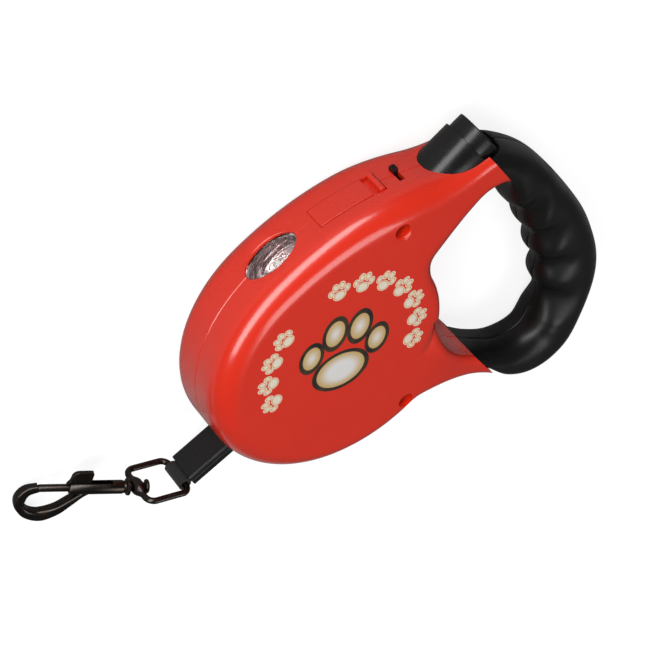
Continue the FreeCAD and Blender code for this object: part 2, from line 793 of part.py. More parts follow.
def coil_spring(name, radius, wire, length, turns, base):
    """A round-wire compression spring along +X from a base point, as a chain of half-turn rings."""
    reach, half_wire, count = size(radius), size(f"({wire}) / 2"), int(size(turns))
    rise = size(f"(({length}) - ({wire})) / ({turns}) / 2")
    halves = []
    for number in range(2 * count):
        side = (-1) ** number
        start = Vector(rise * number, 0, side * reach)
        end = Vector(rise * (number + 1), 0, -side * reach)
        axis = (end - start).cross(Vector(0, side, 0))
        section = Part.Face(Part.Wire(Part.makeCircle(half_wire, start, Vector(0, 1, 0))))
        halves.append(section.revolve((start + end) * 0.5, axis, 180))
    made = doc.addObject("Part::Feature", name)
    made.Shape = halves[0].multiFuse(halves[1:]).removeSplitter()
    return bind(made, dict(zip(("Placement.Base.x", "Placement.Base.y", "Placement.Base.z"), base)))


def button_group():
    """The thumb button, its sleeve, the pawl bar behind it and its return spring."""
    axis = ("button_y", SEAM)
    start = (SLEEVE_START,) + axis
    blank = solid_cylinder("sleeve_blank", "sleeve_radius", "sleeve_length", start, "x")
    hole = solid_cylinder("sleeve_hole", SLEEVE_BORE, "sleeve_length", start, "x")
    node(without("sleeve_tube", blank, [hole]), "button_sleeve")
    skirt_start = f"({SLEEVE_START} + button_travel + 0.6)"
    cap = solid_cylinder("cap_blank", CAP_RADIUS, f"{CAP_END} - {skirt_start}", (skirt_start,) + axis, "x")
    hollow = solid_cylinder("cap_hollow", f"{CAP_RADIUS} - skirt_wall",
                            f"{CAP_END} - cap_top - {skirt_start}", (skirt_start,) + axis, "x")
    button = doc.addObject("Part::Chamfer", "cap_edge")
    button.Base = cap
    doc.recompute()
    rims = [number for number, edge in enumerate(cap.Shape.Edges, start=1)
            if edge.BoundBox.XMin > size(CAP_END) - 0.01]
    chamfer = size("cap_chamfer")
    button.Edges = [(number, chamfer, chamfer) for number in rims]
    node(without("brake_button", button, [hollow]), "brake_button")
    low, high = "(button_y - pawl_width / 2)", "(button_y + pawl_width / 2)"
    nose = f"sqrt(flange_radius^2 - {low}^2) + pawl_gap"
    top, heel = f"{FRONT_FLANGE} + flange_thick", f"{SLEEVE_START} - pawl_heel"
    riser = "coil_radius + pawl_gap + button_travel + pawl_riser"
    tail = f"({SEAM} + spring_radius + spring_wire / 2 + pawl_clear)"
    node(joined("brake_pawl", [
        solid_box("pawl_nose", (nose, low, FRONT_FLANGE), (heel, high, top)),
        solid_box("pawl_riser", (riser, low, tail), (heel, high, top)),
        solid_box("pawl_tail", (riser, low, tail), (f"{CAP_END} - cap_top", high, f"{tail} + flange_thick")),
    ]), "brake_pawl")
    seat = f"({SLEEVE_START} - rib_back + button_travel + 0.5)"
    node(coil_spring("button_spring", "spring_radius", "spring_wire", f"{CAP_END} - cap_top - {seat} - 0.1",
                     "spring_turns", (f"{seat} + spring_wire / 2",) + axis), "button_spring")


# ---- tape outlet ----

def tape_group():
    """The nozzle, the pins beside its mouth and the straight end of the tape with its eye."""
    inner_end = "-nozzle_reach - nozzle_length"
    tube = solid_box("nozzle_tube", (inner_end, f"-{NOZZLE_THICK} / 2", f"-{NOZZLE_WIDTH} / 2"),
                     ("-nozzle_reach", f"{NOZZLE_THICK} / 2", f"{NOZZLE_WIDTH} / 2"))
    lip = solid_box("nozzle_lip_block",
                    (f"{inner_end} - lip_thick", f"-{NOZZLE_THICK} / 2 - nozzle_lip",
                     f"-{NOZZLE_WIDTH} / 2 - nozzle_lip"),
                    (inner_end, f"{NOZZLE_THICK} / 2 + nozzle_lip", f"{NOZZLE_WIDTH} / 2 + nozzle_lip"))
    slot = solid_box("nozzle_slot",
                     (f"{inner_end} - lip_thick", "-tape_thick - slot_gap", "-tape_width / 2 - slot_gap"),
                     ("0", "tape_thick + slot_gap", "tape_width / 2 + slot_gap"))
    node(tape_frame(without("tape_nozzle", joined("nozzle_solid", [tube, lip]), [slot])), "tape_nozzle")
    strip = solid_box("tape_strip", ("-lead_length", "-tape_thick / 2", "-tape_width / 2"),
                      ("-ring_wire - eye_gap", "tape_thick / 2", "tape_width / 2"))
    doubled = solid_box("tape_doubled", ("-sewn_length", "-tape_thick", "-tape_width / 2"),
                        ("-ring_wire - eye_gap", "tape_thick", "tape_width / 2"))
    side = ("0", "0", "-tape_width / 2")
    eye = solid_cylinder("tape_eye", "ring_wire + eye_gap + tape_thick", "tape_width", side)
    hole = solid_cylinder("tape_eye_hole", "ring_wire + eye_gap", "tape_width", side)
    node(tape_frame(without("tape_lead", joined("tape_solid", [strip, doubled, eye]), [hole])), "tape_lead")
    offset = "tape_thick + slot_gap + guide_pin_radius"
    pins = [solid_cylinder(name, "guide_pin_radius", "2 * (disc_half - wall)",
                           (f"{inner_end} - lip_thick - 2.9", f"({side}) * ({offset})", "wall - disc_half"))
            for name, side in (("first_pin", 1), ("second_pin", -1))]
    node(tape_frame(gathered("guide_pins", pins)), "guide_pins")


# ---- ring and snap hook ----

def ring_frame(thing):
    """Carry a piece built about the ring's near bar to its place; x runs along the ring."""
    return place(thing, EYE_X, "eye_y", SEAM, "ring_angle")


def snap_frame(thing):
    """Carry a piece built about the swivel's centre to its place; x runs along the drooping snap."""
    turn = FreeCAD.Rotation(Z_AXIS, size("ring_angle")).multiply(
        FreeCAD.Rotation(Vector(0, 1, 0), size("snap_droop")))
    thing.Placement = FreeCAD.Placement(Vector(0, 0, 0), turn)
    return bind(thing, {"Placement.Base.x": f"{EYE_X} + ring_length * cos(ring_angle)",
                        "Placement.Base.y": "eye_y + ring_length * sin(ring_angle)",
                        "Placement.Base.z": SEAM})


def swivel_ring():
    """A rounded rectangle of wire with a bored boss across its far bar."""
    body = new_body("ring_wire_loop")
    path = new_sketch(body, "ring_path", plane="XZ_Plane")
    half, reach, turn = f"({RING_WIDTH} / 2)", "ring_length", "ring_corner"
    add_outline(path, [
        ("0", f"-({half} - {turn})"), ("0", f"{half} - {turn}", turn, -1), (turn, half),
        (f"{reach} - {turn}", half, turn, -1), (reach, f"{half} - {turn}"),
        (reach, f"-({half} - {turn})", turn, -1), (f"{reach} - {turn}", f"-({half})"),
        (turn, f"-({half})", turn, -1),
    ])
    section = new_sketch(body, "ring_section")
    add_circle(section, "0", "0", "ring_wire")
    pipe = body.newObject("PartDesign::AdditivePipe", "ring_pipe")
    pipe.Profile = section
    pipe.Spine = path
    ring_frame(body)
    boss = snap_frame(gathered("ring_boss", [
        solid_cylinder("ring_boss_blank", "ring_boss_radius", "ring_boss_length",
                       ("-ring_boss_length / 2", "0", "0"), "x")]))
    bore = snap_frame(gathered("ring_bore", [
        solid_cylinder("ring_bore_blank", "swivel_radius + swivel_gap", "ring_boss_length + 4",
                       ("-ring_boss_length / 2 - 2", "0", "0"), "x")]))
    node(without("swivel_ring", joined("ring_solid", [body, boss]), [bore]), "swivel_ring")


HOOK_LINE = [("barrel_end - 5", "1.6"), ("barrel_end - 0.5", "5.4"), ("barrel_end + 4", "10"),
             ("barrel_end + 10.5", "13"), ("barrel_end + 16.2", "11"), ("barrel_end + 18.5", "6"),
             ("barrel_end + 15", "0.6")]


def snap_hook():
    """The snap's body: riveted stem, collar, bored barrel and the bent hook."""
    body = new_body("hook_bend")
    path = new_sketch(body, "hook_path")
    add_curve(path, HOOK_LINE)
    section = new_sketch(body, "hook_section", plane="YZ_Plane", lift=HOOK_LINE[0][0])
    add_circle(section, HOOK_LINE[0][1], "0", "hook_wire")
    pipe = body.newObject("PartDesign::AdditivePipe", "hook_pipe")
    pipe.Profile = section
    pipe.Spine = path
    pieces = [
        solid_cylinder("stem", "swivel_radius", f"2 * {STEM_HALF} + 1",
                       (f"-{STEM_HALF} - 0.5", "0", "0"), "x"),
        solid_cylinder("collar", "barrel_radius + collar_rim", "collar_length", (STEM_HALF, "0", "0"), "x"),
        solid_cylinder("barrel", "barrel_radius", f"barrel_end - {STEM_HALF} - 1",
                       (f"{STEM_HALF} + 1", "0", "0"), "x"),
        body,
        solid_sphere("hook_nose", "hook_wire", (HOOK_LINE[-1][0], HOOK_LINE[-1][1], "0")),
    ]
    bore = solid_cylinder("bolt_bore", "bolt_radius + bolt_gap", "bolt_end + 0.2 - barrel_start",
                          ("barrel_start", "0", "0"), "x")
    slot = solid_box("tab_slot",
                     ("tab_start - bolt_travel - 0.4", "-barrel_radius - 1", "-tab_thick / 2 - 0.15"),
                     ("barrel_end + 1", "0", "tab_thick / 2 + 0.15"))
    node(snap_frame(without("snap_hook", joined("snap_solid", pieces), [bore, slot])), "snap_hook")
    head = solid_cylinder("swivel_head", "swivel_radius + swivel_head_rim", "swivel_head_length",
                          (f"-{STEM_HALF} - swivel_head_length", "0", "0"), "x")
    seat = solid_cylinder("swivel_head_seat", "swivel_radius", "1.6", (f"-{STEM_HALF} - 0.5", "0", "0"), "x")
    node(snap_frame(without("swivel_rivet", head, [seat])), "swivel_rivet")
    rod = solid_cylinder("bolt_rod", "bolt_radius", "bolt_end - bolt_start", ("bolt_start", "0", "0"), "x")
    tab = solid_box("bolt_tab", ("tab_start", "-barrel_radius - tab_height", "-tab_thick / 2"),
                    ("tab_start + tab_length", "0", "tab_thick / 2"))
    node(snap_frame(joined("snap_bolt", [rod, tab])), "snap_bolt")
    spring = coil_spring("bolt_spring_coil", "bolt_spring_radius", "bolt_spring_wire",
                         "bolt_start - bolt_travel - barrel_start - 0.4", "bolt_spring_turns",
                         ("barrel_start + 0.3", "0", "0"))
    node(snap_frame(gathered("bolt_spring", [spring])), "bolt_spring")


# ---- torch, battery bay and switch ----

def torch():
    """Oval window, reflector, lamp and the board that carries it."""
    lens = new_body("torch_lens")
    block = oval(lens, "lens_oval", "crown_radius - lens_inset", "lens_length", "lens_width", "lens_thick")
    doc.recompute()
    top = size("crown_radius - lens_inset")
    rounded(lens, block, "lens_round", lambda edge: abs(edge.BoundBox.YMin - top) < 1e-3)
    node(rim_frame(lens, "lens_angle"), "torch_lens")
    dish = new_body("reflector_block")
    dish_top = "crown_radius - dish_inset"
    oval(dish, "reflector_oval", dish_top, "lens_length", "lens_width", "dish_depth", "-0.2")
    scoop = bind(doc.addObject("Part::Ellipsoid", "reflector_scoop"),
                 {"Radius1": "lens_width / 2 - dish_rim", "Radius2": "lens_length / 2 - dish_rim",
                  "Radius3": "dish_depth - 1"})
    scoop.Angle1 = -90
    scoop.Angle2 = 90
    bind(scoop, {"Placement.Base.y": dish_top})
    foot = "crown_radius - lamp_inset"
    lamp_hole = solid_cylinder("lamp_hole", "lamp_radius + fit_gap", "4", ("0", f"{foot} - 1", "0"), "y")
    node(rim_frame(without("torch_reflector", dish, [scoop, lamp_hole]), "lens_angle"), "torch_reflector")
    stem = solid_cylinder("lamp_stem", "lamp_radius", "3.2", ("0", foot, "0"), "y")
    dome = solid_sphere("lamp_dome", "lamp_radius", ("0", f"{foot} + 3.2", "0"))
    node(rim_frame(joined("torch_lamp", [stem, dome]), "lens_angle"), "torch_lamp")
    node(rim_box("lamp_board", "lens_angle", ("-8", "-lamp_inset - board_thick", "-5"),
                 ("8", "-lamp_inset", "5")), "lamp_board")


def battery_bay():
    """Holder, a row of button cells, end contacts and the door over them."""
    half_row = "(cell_count * cell_length / 2)"
    floor = "(-door_thick - door_clear - 2 * cell_radius)"
    half_room = "(cell_radius + cell_gap)"
    holder = rim_box("holder_trough", "door_angle",
                     (f"-{half_row} - 2", f"{floor} - 1", f"-{half_room} - holder_wall"),
                     (f"{half_row} + 2", "-wall - 0.7", f"{half_room} + holder_wall"))
    room = rim_box("cell_room", "door_angle", (f"-{half_row} - 1", floor, f"-{half_room}"),
                   (f"{half_row} + 1", "0", half_room))
    node(without("battery_holder", holder, [room]), "battery_holder")
    cells = [solid_cylinder(f"cell_{number}", "cell_radius", "cell_length - 0.1",
                            (f"-{half_row} + {number} * cell_length + 0.05",
                             f"crown_radius + {floor} + cell_radius + 0.1", "0"), "x")
             for number in range(int(size("cell_count")))]
    node(rim_frame(gathered("button_cells", cells), "door_angle"), "button_cells")
    plates = [rim_box(name, "door_angle", (low, f"{floor} + 1", "-3"), (high, f"{floor} + 7", "3"))
              for name, low, high in (("first_plate", f"-{half_row} - 0.7", f"-{half_row} - 0.3"),
                                      ("second_plate", f"{half_row} + 0.3", f"{half_row} + 0.7"))]
    node(gathered("battery_contacts", plates), "battery_contacts")
    battery_door()


def battery_door():
    """The curved door: a rolled pivot edge at its left and a raised finger tab at its right."""
    sill, width = "-door_half_width", "2 * door_half_width"
    outer = solid_cylinder("door_outer", "crown_radius + door_proud", width, ("0", "0", sill))
    inner = solid_cylinder("door_inner", "crown_radius - door_thick", width, ("0", "0", sill))
    reach = solid_box("door_reach", (f"-door_left + {DOOR_ROLL}", "crown_radius - 8", sill),
                      ("door_right", "crown_radius + 8", "door_half_width"))
    panel = shared("door_panel", without("door_ring", outer, [inner]), reach)
    drop = "crown_radius - sqrt(crown_radius^2 - door_left^2)"
    roll_height = f"crown_radius + door_proud - {DOOR_ROLL} - ({drop})"
    roll = solid_cylinder("door_roll", DOOR_ROLL, width, (f"-door_left + {DOOR_ROLL}", roll_height, sill))
    tab = solid_box("door_tab", ("door_right - door_tab_length", "crown_radius - door_thick - 0.8", sill),
                    ("door_right", "crown_radius + door_tab_height", "door_half_width"))
    node(rim_frame(joined("battery_door", [panel, roll, tab]), "door_angle"), "battery_door")


def switch():
    """The slide knob in its slot and the switch body behind it."""
    start = "-switch_travel / 2 - knob_length / 2"
    knob = [solid_box("knob_cap", ("-knob_width / 2", "crown_radius - 3.6", start),
                      ("knob_width / 2", "crown_radius + knob_height", f"{start} + knob_length"))]
    node(rim_frame(gathered("torch_switch", knob), "switch_angle"), "torch_switch")
    node(rim_box("switch_body", "switch_angle", ("-3", "-8", "-6.5"), ("3", "-3.8", "6.5")), "switch_body")


def wires():
    """Leads from the battery holder to the lamp board and the switch, following the crown."""
    made = []
    for name, reach, start, span in (
            ("board_lead", "crown_radius - 12.6", "lens_angle + 3.7", "door_angle - lens_angle - 10.7"),
            ("switch_lead", "crown_radius - 5", "door_angle + 7", "switch_angle - door_angle - 9.1")):
        lead = bind(doc.addObject("Part::Torus", name), {"Radius1": reach, "Radius2": "0.5", "Angle3": span})
        lead.Angle1, lead.Angle2 = -180, 180
        made.append(place(lead, "0", CROWN_Y, SEAM, f"90 - ({start}) - ({span})"))
    node(gathered("wires", made), "wires")


def screws():
    """Two screws, heads at the bottom of their recesses."""
    made = []
    for spot, x, y in SCREWS:
        head = solid_cylinder(f"{spot}_head", "screw_head", "head_length", (x, y, f"{SEAM} + seat_height"))
        shank = solid_cylinder(f"{spot}_shank", "screw_radius", "shank_length",
                               (x, y, f"{SEAM} + seat_height - shank_length"))
        made.append(joined(f"{spot}_screw", [head, shank]))
    node(gathered("housing_screws", made), "housing_screws")


def write_parts():
    """Check every object and write each piece to its own file."""
    doc.recompute()
    bad = [thing.Name for thing in doc.Objects if {"Invalid", "Error"} & set(thing.State)]
    bad += [piece.Label for piece in NODES if piece.Shape.isNull() or not piece.Shape.isValid()]
    if bad:
        raise RuntimeError("failed: " + ", ".join(bad))
    for piece in NODES:
        piece.Shape.exportStep(f"parts/{piece.Label}.step")
        print(piece.Label, len(piece.Shape.Solids), "solids", round(piece.Shape.Volume, 1), "mm3")


housing()
grip("front_grip", True)
grip("rear_grip", False)
node(core_path_body("handle_core", "0"), "handle_core")
spool_group()
button_group()
tape_group()
swivel_ring()
snap_hook()
torch()
battery_bay()
switch()
wires()
screws()
write_parts()
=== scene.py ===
"""Retractable leash: a finished mesh and material for every piece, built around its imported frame."""
import json
import math

import bmesh
import bpy
from mathutils import Matrix, Vector
from mathutils.geometry import delaunay_2d_cdt


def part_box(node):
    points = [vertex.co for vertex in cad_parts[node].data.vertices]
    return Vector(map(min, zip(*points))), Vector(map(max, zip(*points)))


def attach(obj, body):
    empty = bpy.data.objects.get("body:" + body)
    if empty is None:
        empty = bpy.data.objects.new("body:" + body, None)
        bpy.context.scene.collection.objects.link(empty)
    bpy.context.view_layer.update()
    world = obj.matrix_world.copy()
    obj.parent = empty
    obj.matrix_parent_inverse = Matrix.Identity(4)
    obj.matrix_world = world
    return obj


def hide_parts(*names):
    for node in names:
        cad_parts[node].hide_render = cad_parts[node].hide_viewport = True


bl_info = {
    "name": "Retractable Leash",
    "version": (1, 0, 0),
    "blender": (4, 5, 0),
    "location": "View3D > Sidebar > Leash",
    "description": "Builds the finished pieces of a retractable dog leash",
    "category": "Object",
}

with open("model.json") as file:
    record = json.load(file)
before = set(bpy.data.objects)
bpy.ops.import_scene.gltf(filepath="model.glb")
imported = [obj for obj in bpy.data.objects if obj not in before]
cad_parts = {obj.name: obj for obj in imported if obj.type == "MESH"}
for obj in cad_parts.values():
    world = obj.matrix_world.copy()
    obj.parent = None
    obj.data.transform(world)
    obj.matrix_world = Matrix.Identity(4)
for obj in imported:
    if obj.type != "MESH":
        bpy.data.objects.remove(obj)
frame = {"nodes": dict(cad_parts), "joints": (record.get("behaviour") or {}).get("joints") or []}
MM = 0.001

# ---- places read from the frame, in millimetres ----


def box_mm(node):
    """A node's lowest and highest corner at rest."""
    low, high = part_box(node)
    return low / MM, high / MM


def joint(name):
    return next(j for j in frame["joints"] if j["name"] == name)


SHELL_LOW, SHELL_HIGH = box_mm("front_shell")
SEAM = SHELL_LOW.z
DISC_RADIUS = -SHELL_LOW.x
DISC_HALF = SHELL_HIGH.z - SEAM
UPPER_END = SHELL_HIGH.x
SLEEVE_LOW, SLEEVE_HIGH = box_mm("button_sleeve")
SLEEVE_RADIUS = (SLEEVE_HIGH.z - SLEEVE_LOW.z) / 2
BUTTON_LOW, BUTTON_HIGH = box_mm("brake_button")
CAP_RADIUS = (BUTTON_HIGH.z - BUTTON_LOW.z) / 2
BUTTON_Y = (SLEEVE_HIGH.y + SLEEVE_LOW.y) / 2
EYE = Vector(joint("ring_swing")["pos_m"]) / MM
SWIVEL = Vector(joint("snap_swivel")["pos_m"]) / MM
SNAP_AXIS = Vector(joint("snap_swivel")["axis"])
TAPE_AXIS = Vector(joint("tape_out")["axis"])
DOOR_PIVOT = Vector(joint("door_hinge")["pos_m"]) / MM

# ---- sizes of the housing, in millimetres ----

CROWN_RADIUS = 104.0
CROWN_Y = DISC_RADIUS - CROWN_RADIUS
OUTLINE_POINTS = 560
OUTLINE_SMOOTHING = 4
THROAT_RADIUS = 42.3
THROAT_START, THROAT_END = 6, 40
SHOULDER_X = 64.0
FLANK_RADIUS = 60.0
UPPER_TOP, UPPER_LOW = 17.5, -4.0
WEB_CORNER = (72.0, 3.6)
THROAT_CORNER = (47.3, -0.1)
LOWER_END = 31.0
LOWER_TOP, LOWER_LOW = -64.5, -83.5
FOOT_X = 3.0
# Both arms run on past their ends, so that the rounding is whole where they are cut off.
UPPER_RUN_ON = [(0.0, UPPER_TOP), (10.0, 14.3), (19.0, 8.0), (24.0, -3.0), (25.0, -16.0), (22.5, -25.5),
                (16.5, -28.0), (12.2, -24.3), (9.0, -18.8), (6.0, -13.9)]
LOWER_RUN_ON = [(0.0, LOWER_TOP), (4.9, -73.2), (9.8, -81.9), (12.4, -88.0), (12.3, -94.5), (9.2, -98.2),
                (5.8, -96.0), (3.1, -90.9)]
UPPER_DROP = 3.6
LOWER_DROP = 2.2
STEP_ROUND = 6.0
THROAT_ROUND = 4.0
ARM_ROUND = 5.0
LOWER_ROUND = 3.0
SEAM_NICK = 0.22
SEAM_GAP = 0.02
# Distances from the throat's radius at which the face gets a finer row of points.
FAN_REACHES = (-6.0, -4.6, -3.4, -2.4, -1.6, -0.9, -0.4, 0.0, 0.5, 1.4)
FAN_COUNT = 60
FAN_START, FAN_STEP = 40.5, 0.66
WALL = 2.2
HOLLOW = 11.2
BAY_DEPTH = 10.2
FIT = 0.1
SHAFT_START, SHAFT_ROOM = 62.0, 9.15
POCKET_START, POCKET_END = 67.0, 100.0
SPRING_FLOOR = 2.4
CUP_ROOM = 31.0
SPOOL_TURN = Matrix.Rotation(math.radians(-90), 4, "Y")
SCREWS = [(46.5, 29.2), (1.5, 6.0 - DISC_RADIUS)]
WELL_RADIUS, WELL_FLOOR = 3.0, 6.0
LENS_OPENING = (11.1, 5.85)
DOOR_START, DOOR_END, DOOR_HALF = -11.5, 16.0, 4.8
SLOT_WIDE, SLOT_HIGH = 1.15, 3.8
DOOR_ANGLE = 21.9
LENS_ANGLE = 4.94
SWITCH_ANGLE = 34.6


def turn_z(degrees):
    return Matrix.Rotation(math.radians(degrees), 4, "Z")


def rim_frame(degrees):
    """A place on the crown: x along the rim, y outwards from the crown's centre, z across."""
    return Matrix.Translation((0, CROWN_Y * MM, SEAM * MM)) @ turn_z(-degrees)


def tape_frame():
    """The tape's eye: x runs out along the tape."""
    return Matrix.Translation(EYE * MM) @ turn_z(math.degrees(math.atan2(TAPE_AXIS.y, TAPE_AXIS.x)))


def ring_frame():
    """The ring's near bar: x runs along the ring."""
    return Matrix.Translation(EYE * MM) @ turn_z(math.degrees(math.atan2(SNAP_AXIS.y, SNAP_AXIS.x)))


def snap_frame():
    """The swivel's centre: x runs along the snap, y towards the side that its hook bends to."""
    droop = math.asin(-SNAP_AXIS.z)
    heading = math.degrees(math.atan2(SNAP_AXIS.y, SNAP_AXIS.x))
    return Matrix.Translation(SWIVEL * MM) @ turn_z(heading) @ Matrix.Rotation(droop, 4, "Y")


def button_frame():
    """The button's axis, with x running along it from the spool axis' plane."""
    return Matrix.Translation((0, BUTTON_Y * MM, SEAM * MM))


# ---- settings ----

class HousingSettings(bpy.types.PropertyGroup):
    """Colours and edges of the red housing."""
    colour: bpy.props.FloatVectorProperty(name="Colour", description="Moulded colour of the housing",
                                          subtype="COLOR", size=3, min=0, max=1, default=(0.76, 0.026, 0.008))
    ink: bpy.props.FloatVectorProperty(name="Print", description="Cream ink printed on the face",
                                       subtype="COLOR", size=3, min=0, max=1, default=(0.86, 0.78, 0.64))
    amber: bpy.props.FloatVectorProperty(name="Print edge", description="Amber ink round the cream prints",
                                         subtype="COLOR", size=3, min=0, max=1, default=(0.75, 0.36, 0.06))
    face_round: bpy.props.FloatProperty(name="Face rounding",
                                        description="Radius of the edge round the front face",
                                        default=8.8 * MM, min=0.003, max=0.01,
                                        subtype="DISTANCE", unit="LENGTH")
    rear_round: bpy.props.FloatProperty(name="Rear rounding",
                                        description="Radius of the edge round the rear face",
                                        default=6.6 * MM, min=0.003, max=0.01,
                                        subtype="DISTANCE", unit="LENGTH")
    grid: bpy.props.FloatProperty(name="Mesh step", description="Distance between points on the faces",
                                  default=1.3 * MM, min=0.0008, max=0.004, subtype="DISTANCE", unit="LENGTH")


class GripSettings(bpy.types.PropertyGroup):
    """Colour and section of the rubber grip."""
    colour: bpy.props.FloatVectorProperty(name="Colour", description="Colour of the rubber",
                                          subtype="COLOR", size=3, min=0, max=1,
                                          default=(0.005, 0.0047, 0.0045))
    squareness: bpy.props.FloatProperty(name="Squareness",
                                        description="2 is an oval section, more is squarer",
                                        default=2.5, min=2, max=6)


class FittingSettings(bpy.types.PropertyGroup):
    """Colours of the plastic and metal fittings."""
    plastic: bpy.props.FloatVectorProperty(name="Plastic", description="Colour of the black plastic",
                                           subtype="COLOR", size=3, min=0, max=1,
                                           default=(0.006, 0.0056, 0.0054))
    metal: bpy.props.FloatVectorProperty(name="Metal", description="Colour of the blackened metal",
                                         subtype="COLOR", size=3, min=0, max=1, default=(0.055, 0.049, 0.046))


class StageSettings(bpy.types.PropertyGroup):
    """Light and camera."""
    key: bpy.props.FloatProperty(name="Key light", description="Power of the long strip above the camera",
                                 default=15.0, min=0, max=80, unit="POWER")
    fill: bpy.props.FloatProperty(name="Fill", description="Plain light from all round",
                                  default=0.10, min=0, max=1)
    lens: bpy.props.FloatProperty(name="Focal length",
                                  description="Focal length of the camera, in millimetres",
                                  default=115.55, min=35, max=300)


# ---- mesh helpers; all lengths in millimetres until a piece is made ----

def smooth_step(value, low, high):
    share = min(1.0, max(0.0, (value - low) / (high - low)))
    return share * share * (3 - 2 * share)


def arc_points(start, end, radius, side, step=1.0):
    """Points of an arc between two points, without its end; side +1 bulges to the right of travel."""
    start, end = Vector(start), Vector(end)
    chord = end - start
    normal = Vector((chord.y, -chord.x)).normalized() * side
    centre = (start + end) / 2 - normal * math.sqrt(radius ** 2 - chord.length_squared / 4)
    first = math.atan2(start.y - centre.y, start.x - centre.x)
    sweep = 2 * math.asin(chord.length / 2 / radius) * side
    count = max(2, round(abs(sweep) * radius / step))
    angles = [first + sweep * number / count for number in range(count)]
    return [centre + Vector((math.cos(a), math.sin(a))) * radius for a in angles]


def spline_points(corners, count):
    """Points evenly spread along a smooth curve through the corners."""
    points = [Vector(corner) for corner in corners]
    ends = [2 * points[0] - points[1]] + points + [2 * points[-1] - points[-2]]
    fine = []
    for index in range(1, len(ends) - 2):
        p0, p1, p2, p3 = ends[index - 1:index + 3]
        for part in range(24):
            u = part / 24
            fine.append(0.5 * (2 * p1 + (p2 - p0) * u + (2 * p0 - 5 * p1 + 4 * p2 - p3) * u * u
                               + (3 * p1 - p0 - 3 * p2 + p3) * u ** 3))
    fine.append(points[-1])
    return spread(fine, count)


def spread(points, count, closed=False):
    """The same line as evenly spaced points."""
    line = points + [points[0]] if closed else points
    reach = [0.0]
    for before, after in zip(line, line[1:]):
        reach.append(reach[-1] + (after - before).length)
    wanted = [reach[-1] * number / (count if closed else count - 1) for number in range(count)]
    found, index = [], 0
    for distance in wanted:
        while index < len(line) - 2 and reach[index + 1] < distance:
            index += 1
        share = (distance - reach[index]) / max(reach[index + 1] - reach[index], 1e-9)
        found.append(line[index].lerp(line[index + 1], min(1.0, share)))
    return found


def make_piece(name, verts, faces, material, body, slot, place=None, sharp=35, replaces=(), bevel=0.0):
    """A piece from points in millimetres in its own frame, riding on a body."""
    mesh = bpy.data.meshes.new(name)
    mesh.from_pydata([tuple(Vector(v) * MM) for v in verts], [], faces)
    return finish_piece(name, mesh, material, body, place, sharp, replaces, bevel)


def finish_piece(name, mesh, material, body, place=None, sharp=35, replaces=(), bevel=0.0):
    """Clean a mesh, shade it, give it its finish and let it ride on a body."""
    bm = bmesh.new()
    bm.from_mesh(mesh)
    bmesh.ops.remove_doubles(bm, verts=bm.verts, dist=1e-6)
    bmesh.ops.recalc_face_normals(bm, faces=bm.faces)
    bm.to_mesh(mesh)
    bm.free()
    mesh.polygons.foreach_set("use_smooth", [True] * len(mesh.polygons))
    mesh.set_sharp_from_angle(angle=math.radians(sharp))
    mesh.materials.clear()
    mesh.materials.append(material)
    if place is not None:
        mesh.transform(place)
    piece = bpy.data.objects.new(name, mesh)
    bpy.context.scene.collection.objects.link(piece)
    if bevel:
        edge = piece.modifiers.new("Edges", "BEVEL")
        edge.width = bevel * MM
        edge.segments = 3
        edge.limit_method = "ANGLE"
        edge.angle_limit = math.radians(sharp)
        edge.harden_normals = True
    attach(piece, body)
    if replaces:
        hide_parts(*replaces)
    return piece


def ring_faces(rings, size, closed_rings=True, closed_stack=False):
    """Quads between stacked rings of the same number of points."""
    faces = []
    for row in range(rings if closed_stack else rings - 1):
        after = (row + 1) % rings
        for column in range(size if closed_rings else size - 1):
            beside = (column + 1) % size
            faces.append((row * size + column, row * size + beside,
                          after * size + beside, after * size + column))
    return faces


def lathe(profile, around=96, scale_y=1.0, scale_z=1.0):
    """Points and faces of a closed profile of (x, radius) turned about the x axis."""
    verts = []
    for x, radius in profile:
        for number in range(around):
            angle = 2 * math.pi * number / around
            verts.append((x, radius * math.cos(angle) * scale_y, radius * math.sin(angle) * scale_z))
    rows = len(profile)
    faces = ring_faces(rows, around, closed_stack=profile[0][1] > 0 and profile[-1][1] > 0)
    return verts, faces


def tube(centres, sections, around=24, squareness=2.0, closed=False, lift=Vector((0, 0, 1))):
    """A bar along centres in the xy plane; each section is (half width in the plane, half height)."""
    verts, count = [], len(centres)
    for index, centre in enumerate(centres):
        before = centres[(index - 1) % count] if closed or index else centre
        after = centres[(index + 1) % count] if closed or index < count - 1 else centre
        along = (Vector(after) - Vector(before)).normalized()
        side = along.cross(lift).normalized()
        wide, high = sections[index] if isinstance(sections, list) else sections
        for number in range(around):
            angle = 2 * math.pi * number / around
            c, s = math.cos(angle), math.sin(angle)
            u = math.copysign(abs(c) ** (2 / squareness), c) * wide
            v = math.copysign(abs(s) ** (2 / squareness), s) * high
            verts.append(Vector(centre) + side * u + lift * v)
    faces = ring_faces(count, around, closed_stack=closed)
    if not closed:
        faces.append(tuple(reversed(range(around))))
        faces.append(tuple(range((count - 1) * around, count * around)))
    return verts, faces


def prism(outline, low, high):
    """A straight block over an outline of (x, y) points."""
    size = len(outline)
    verts = [(p[0], p[1], z) for z in (low, high) for p in outline]
    faces = ring_faces(2, size) + [tuple(reversed(range(size))), tuple(range(size, 2 * size))]
    return verts, faces


def block(low, high):
    """A straight block between two corners."""
    outline = [(low[0], low[1]), (high[0], low[1]), (high[0], high[1]), (low[0], high[1])]
    return prism(outline, low[2], high[2])


def oval_outline(wide, high, count=72):
    turns = [2 * math.pi * number / count for number in range(count)]
    return [(wide * math.cos(turn), high * math.sin(turn)) for turn in turns]


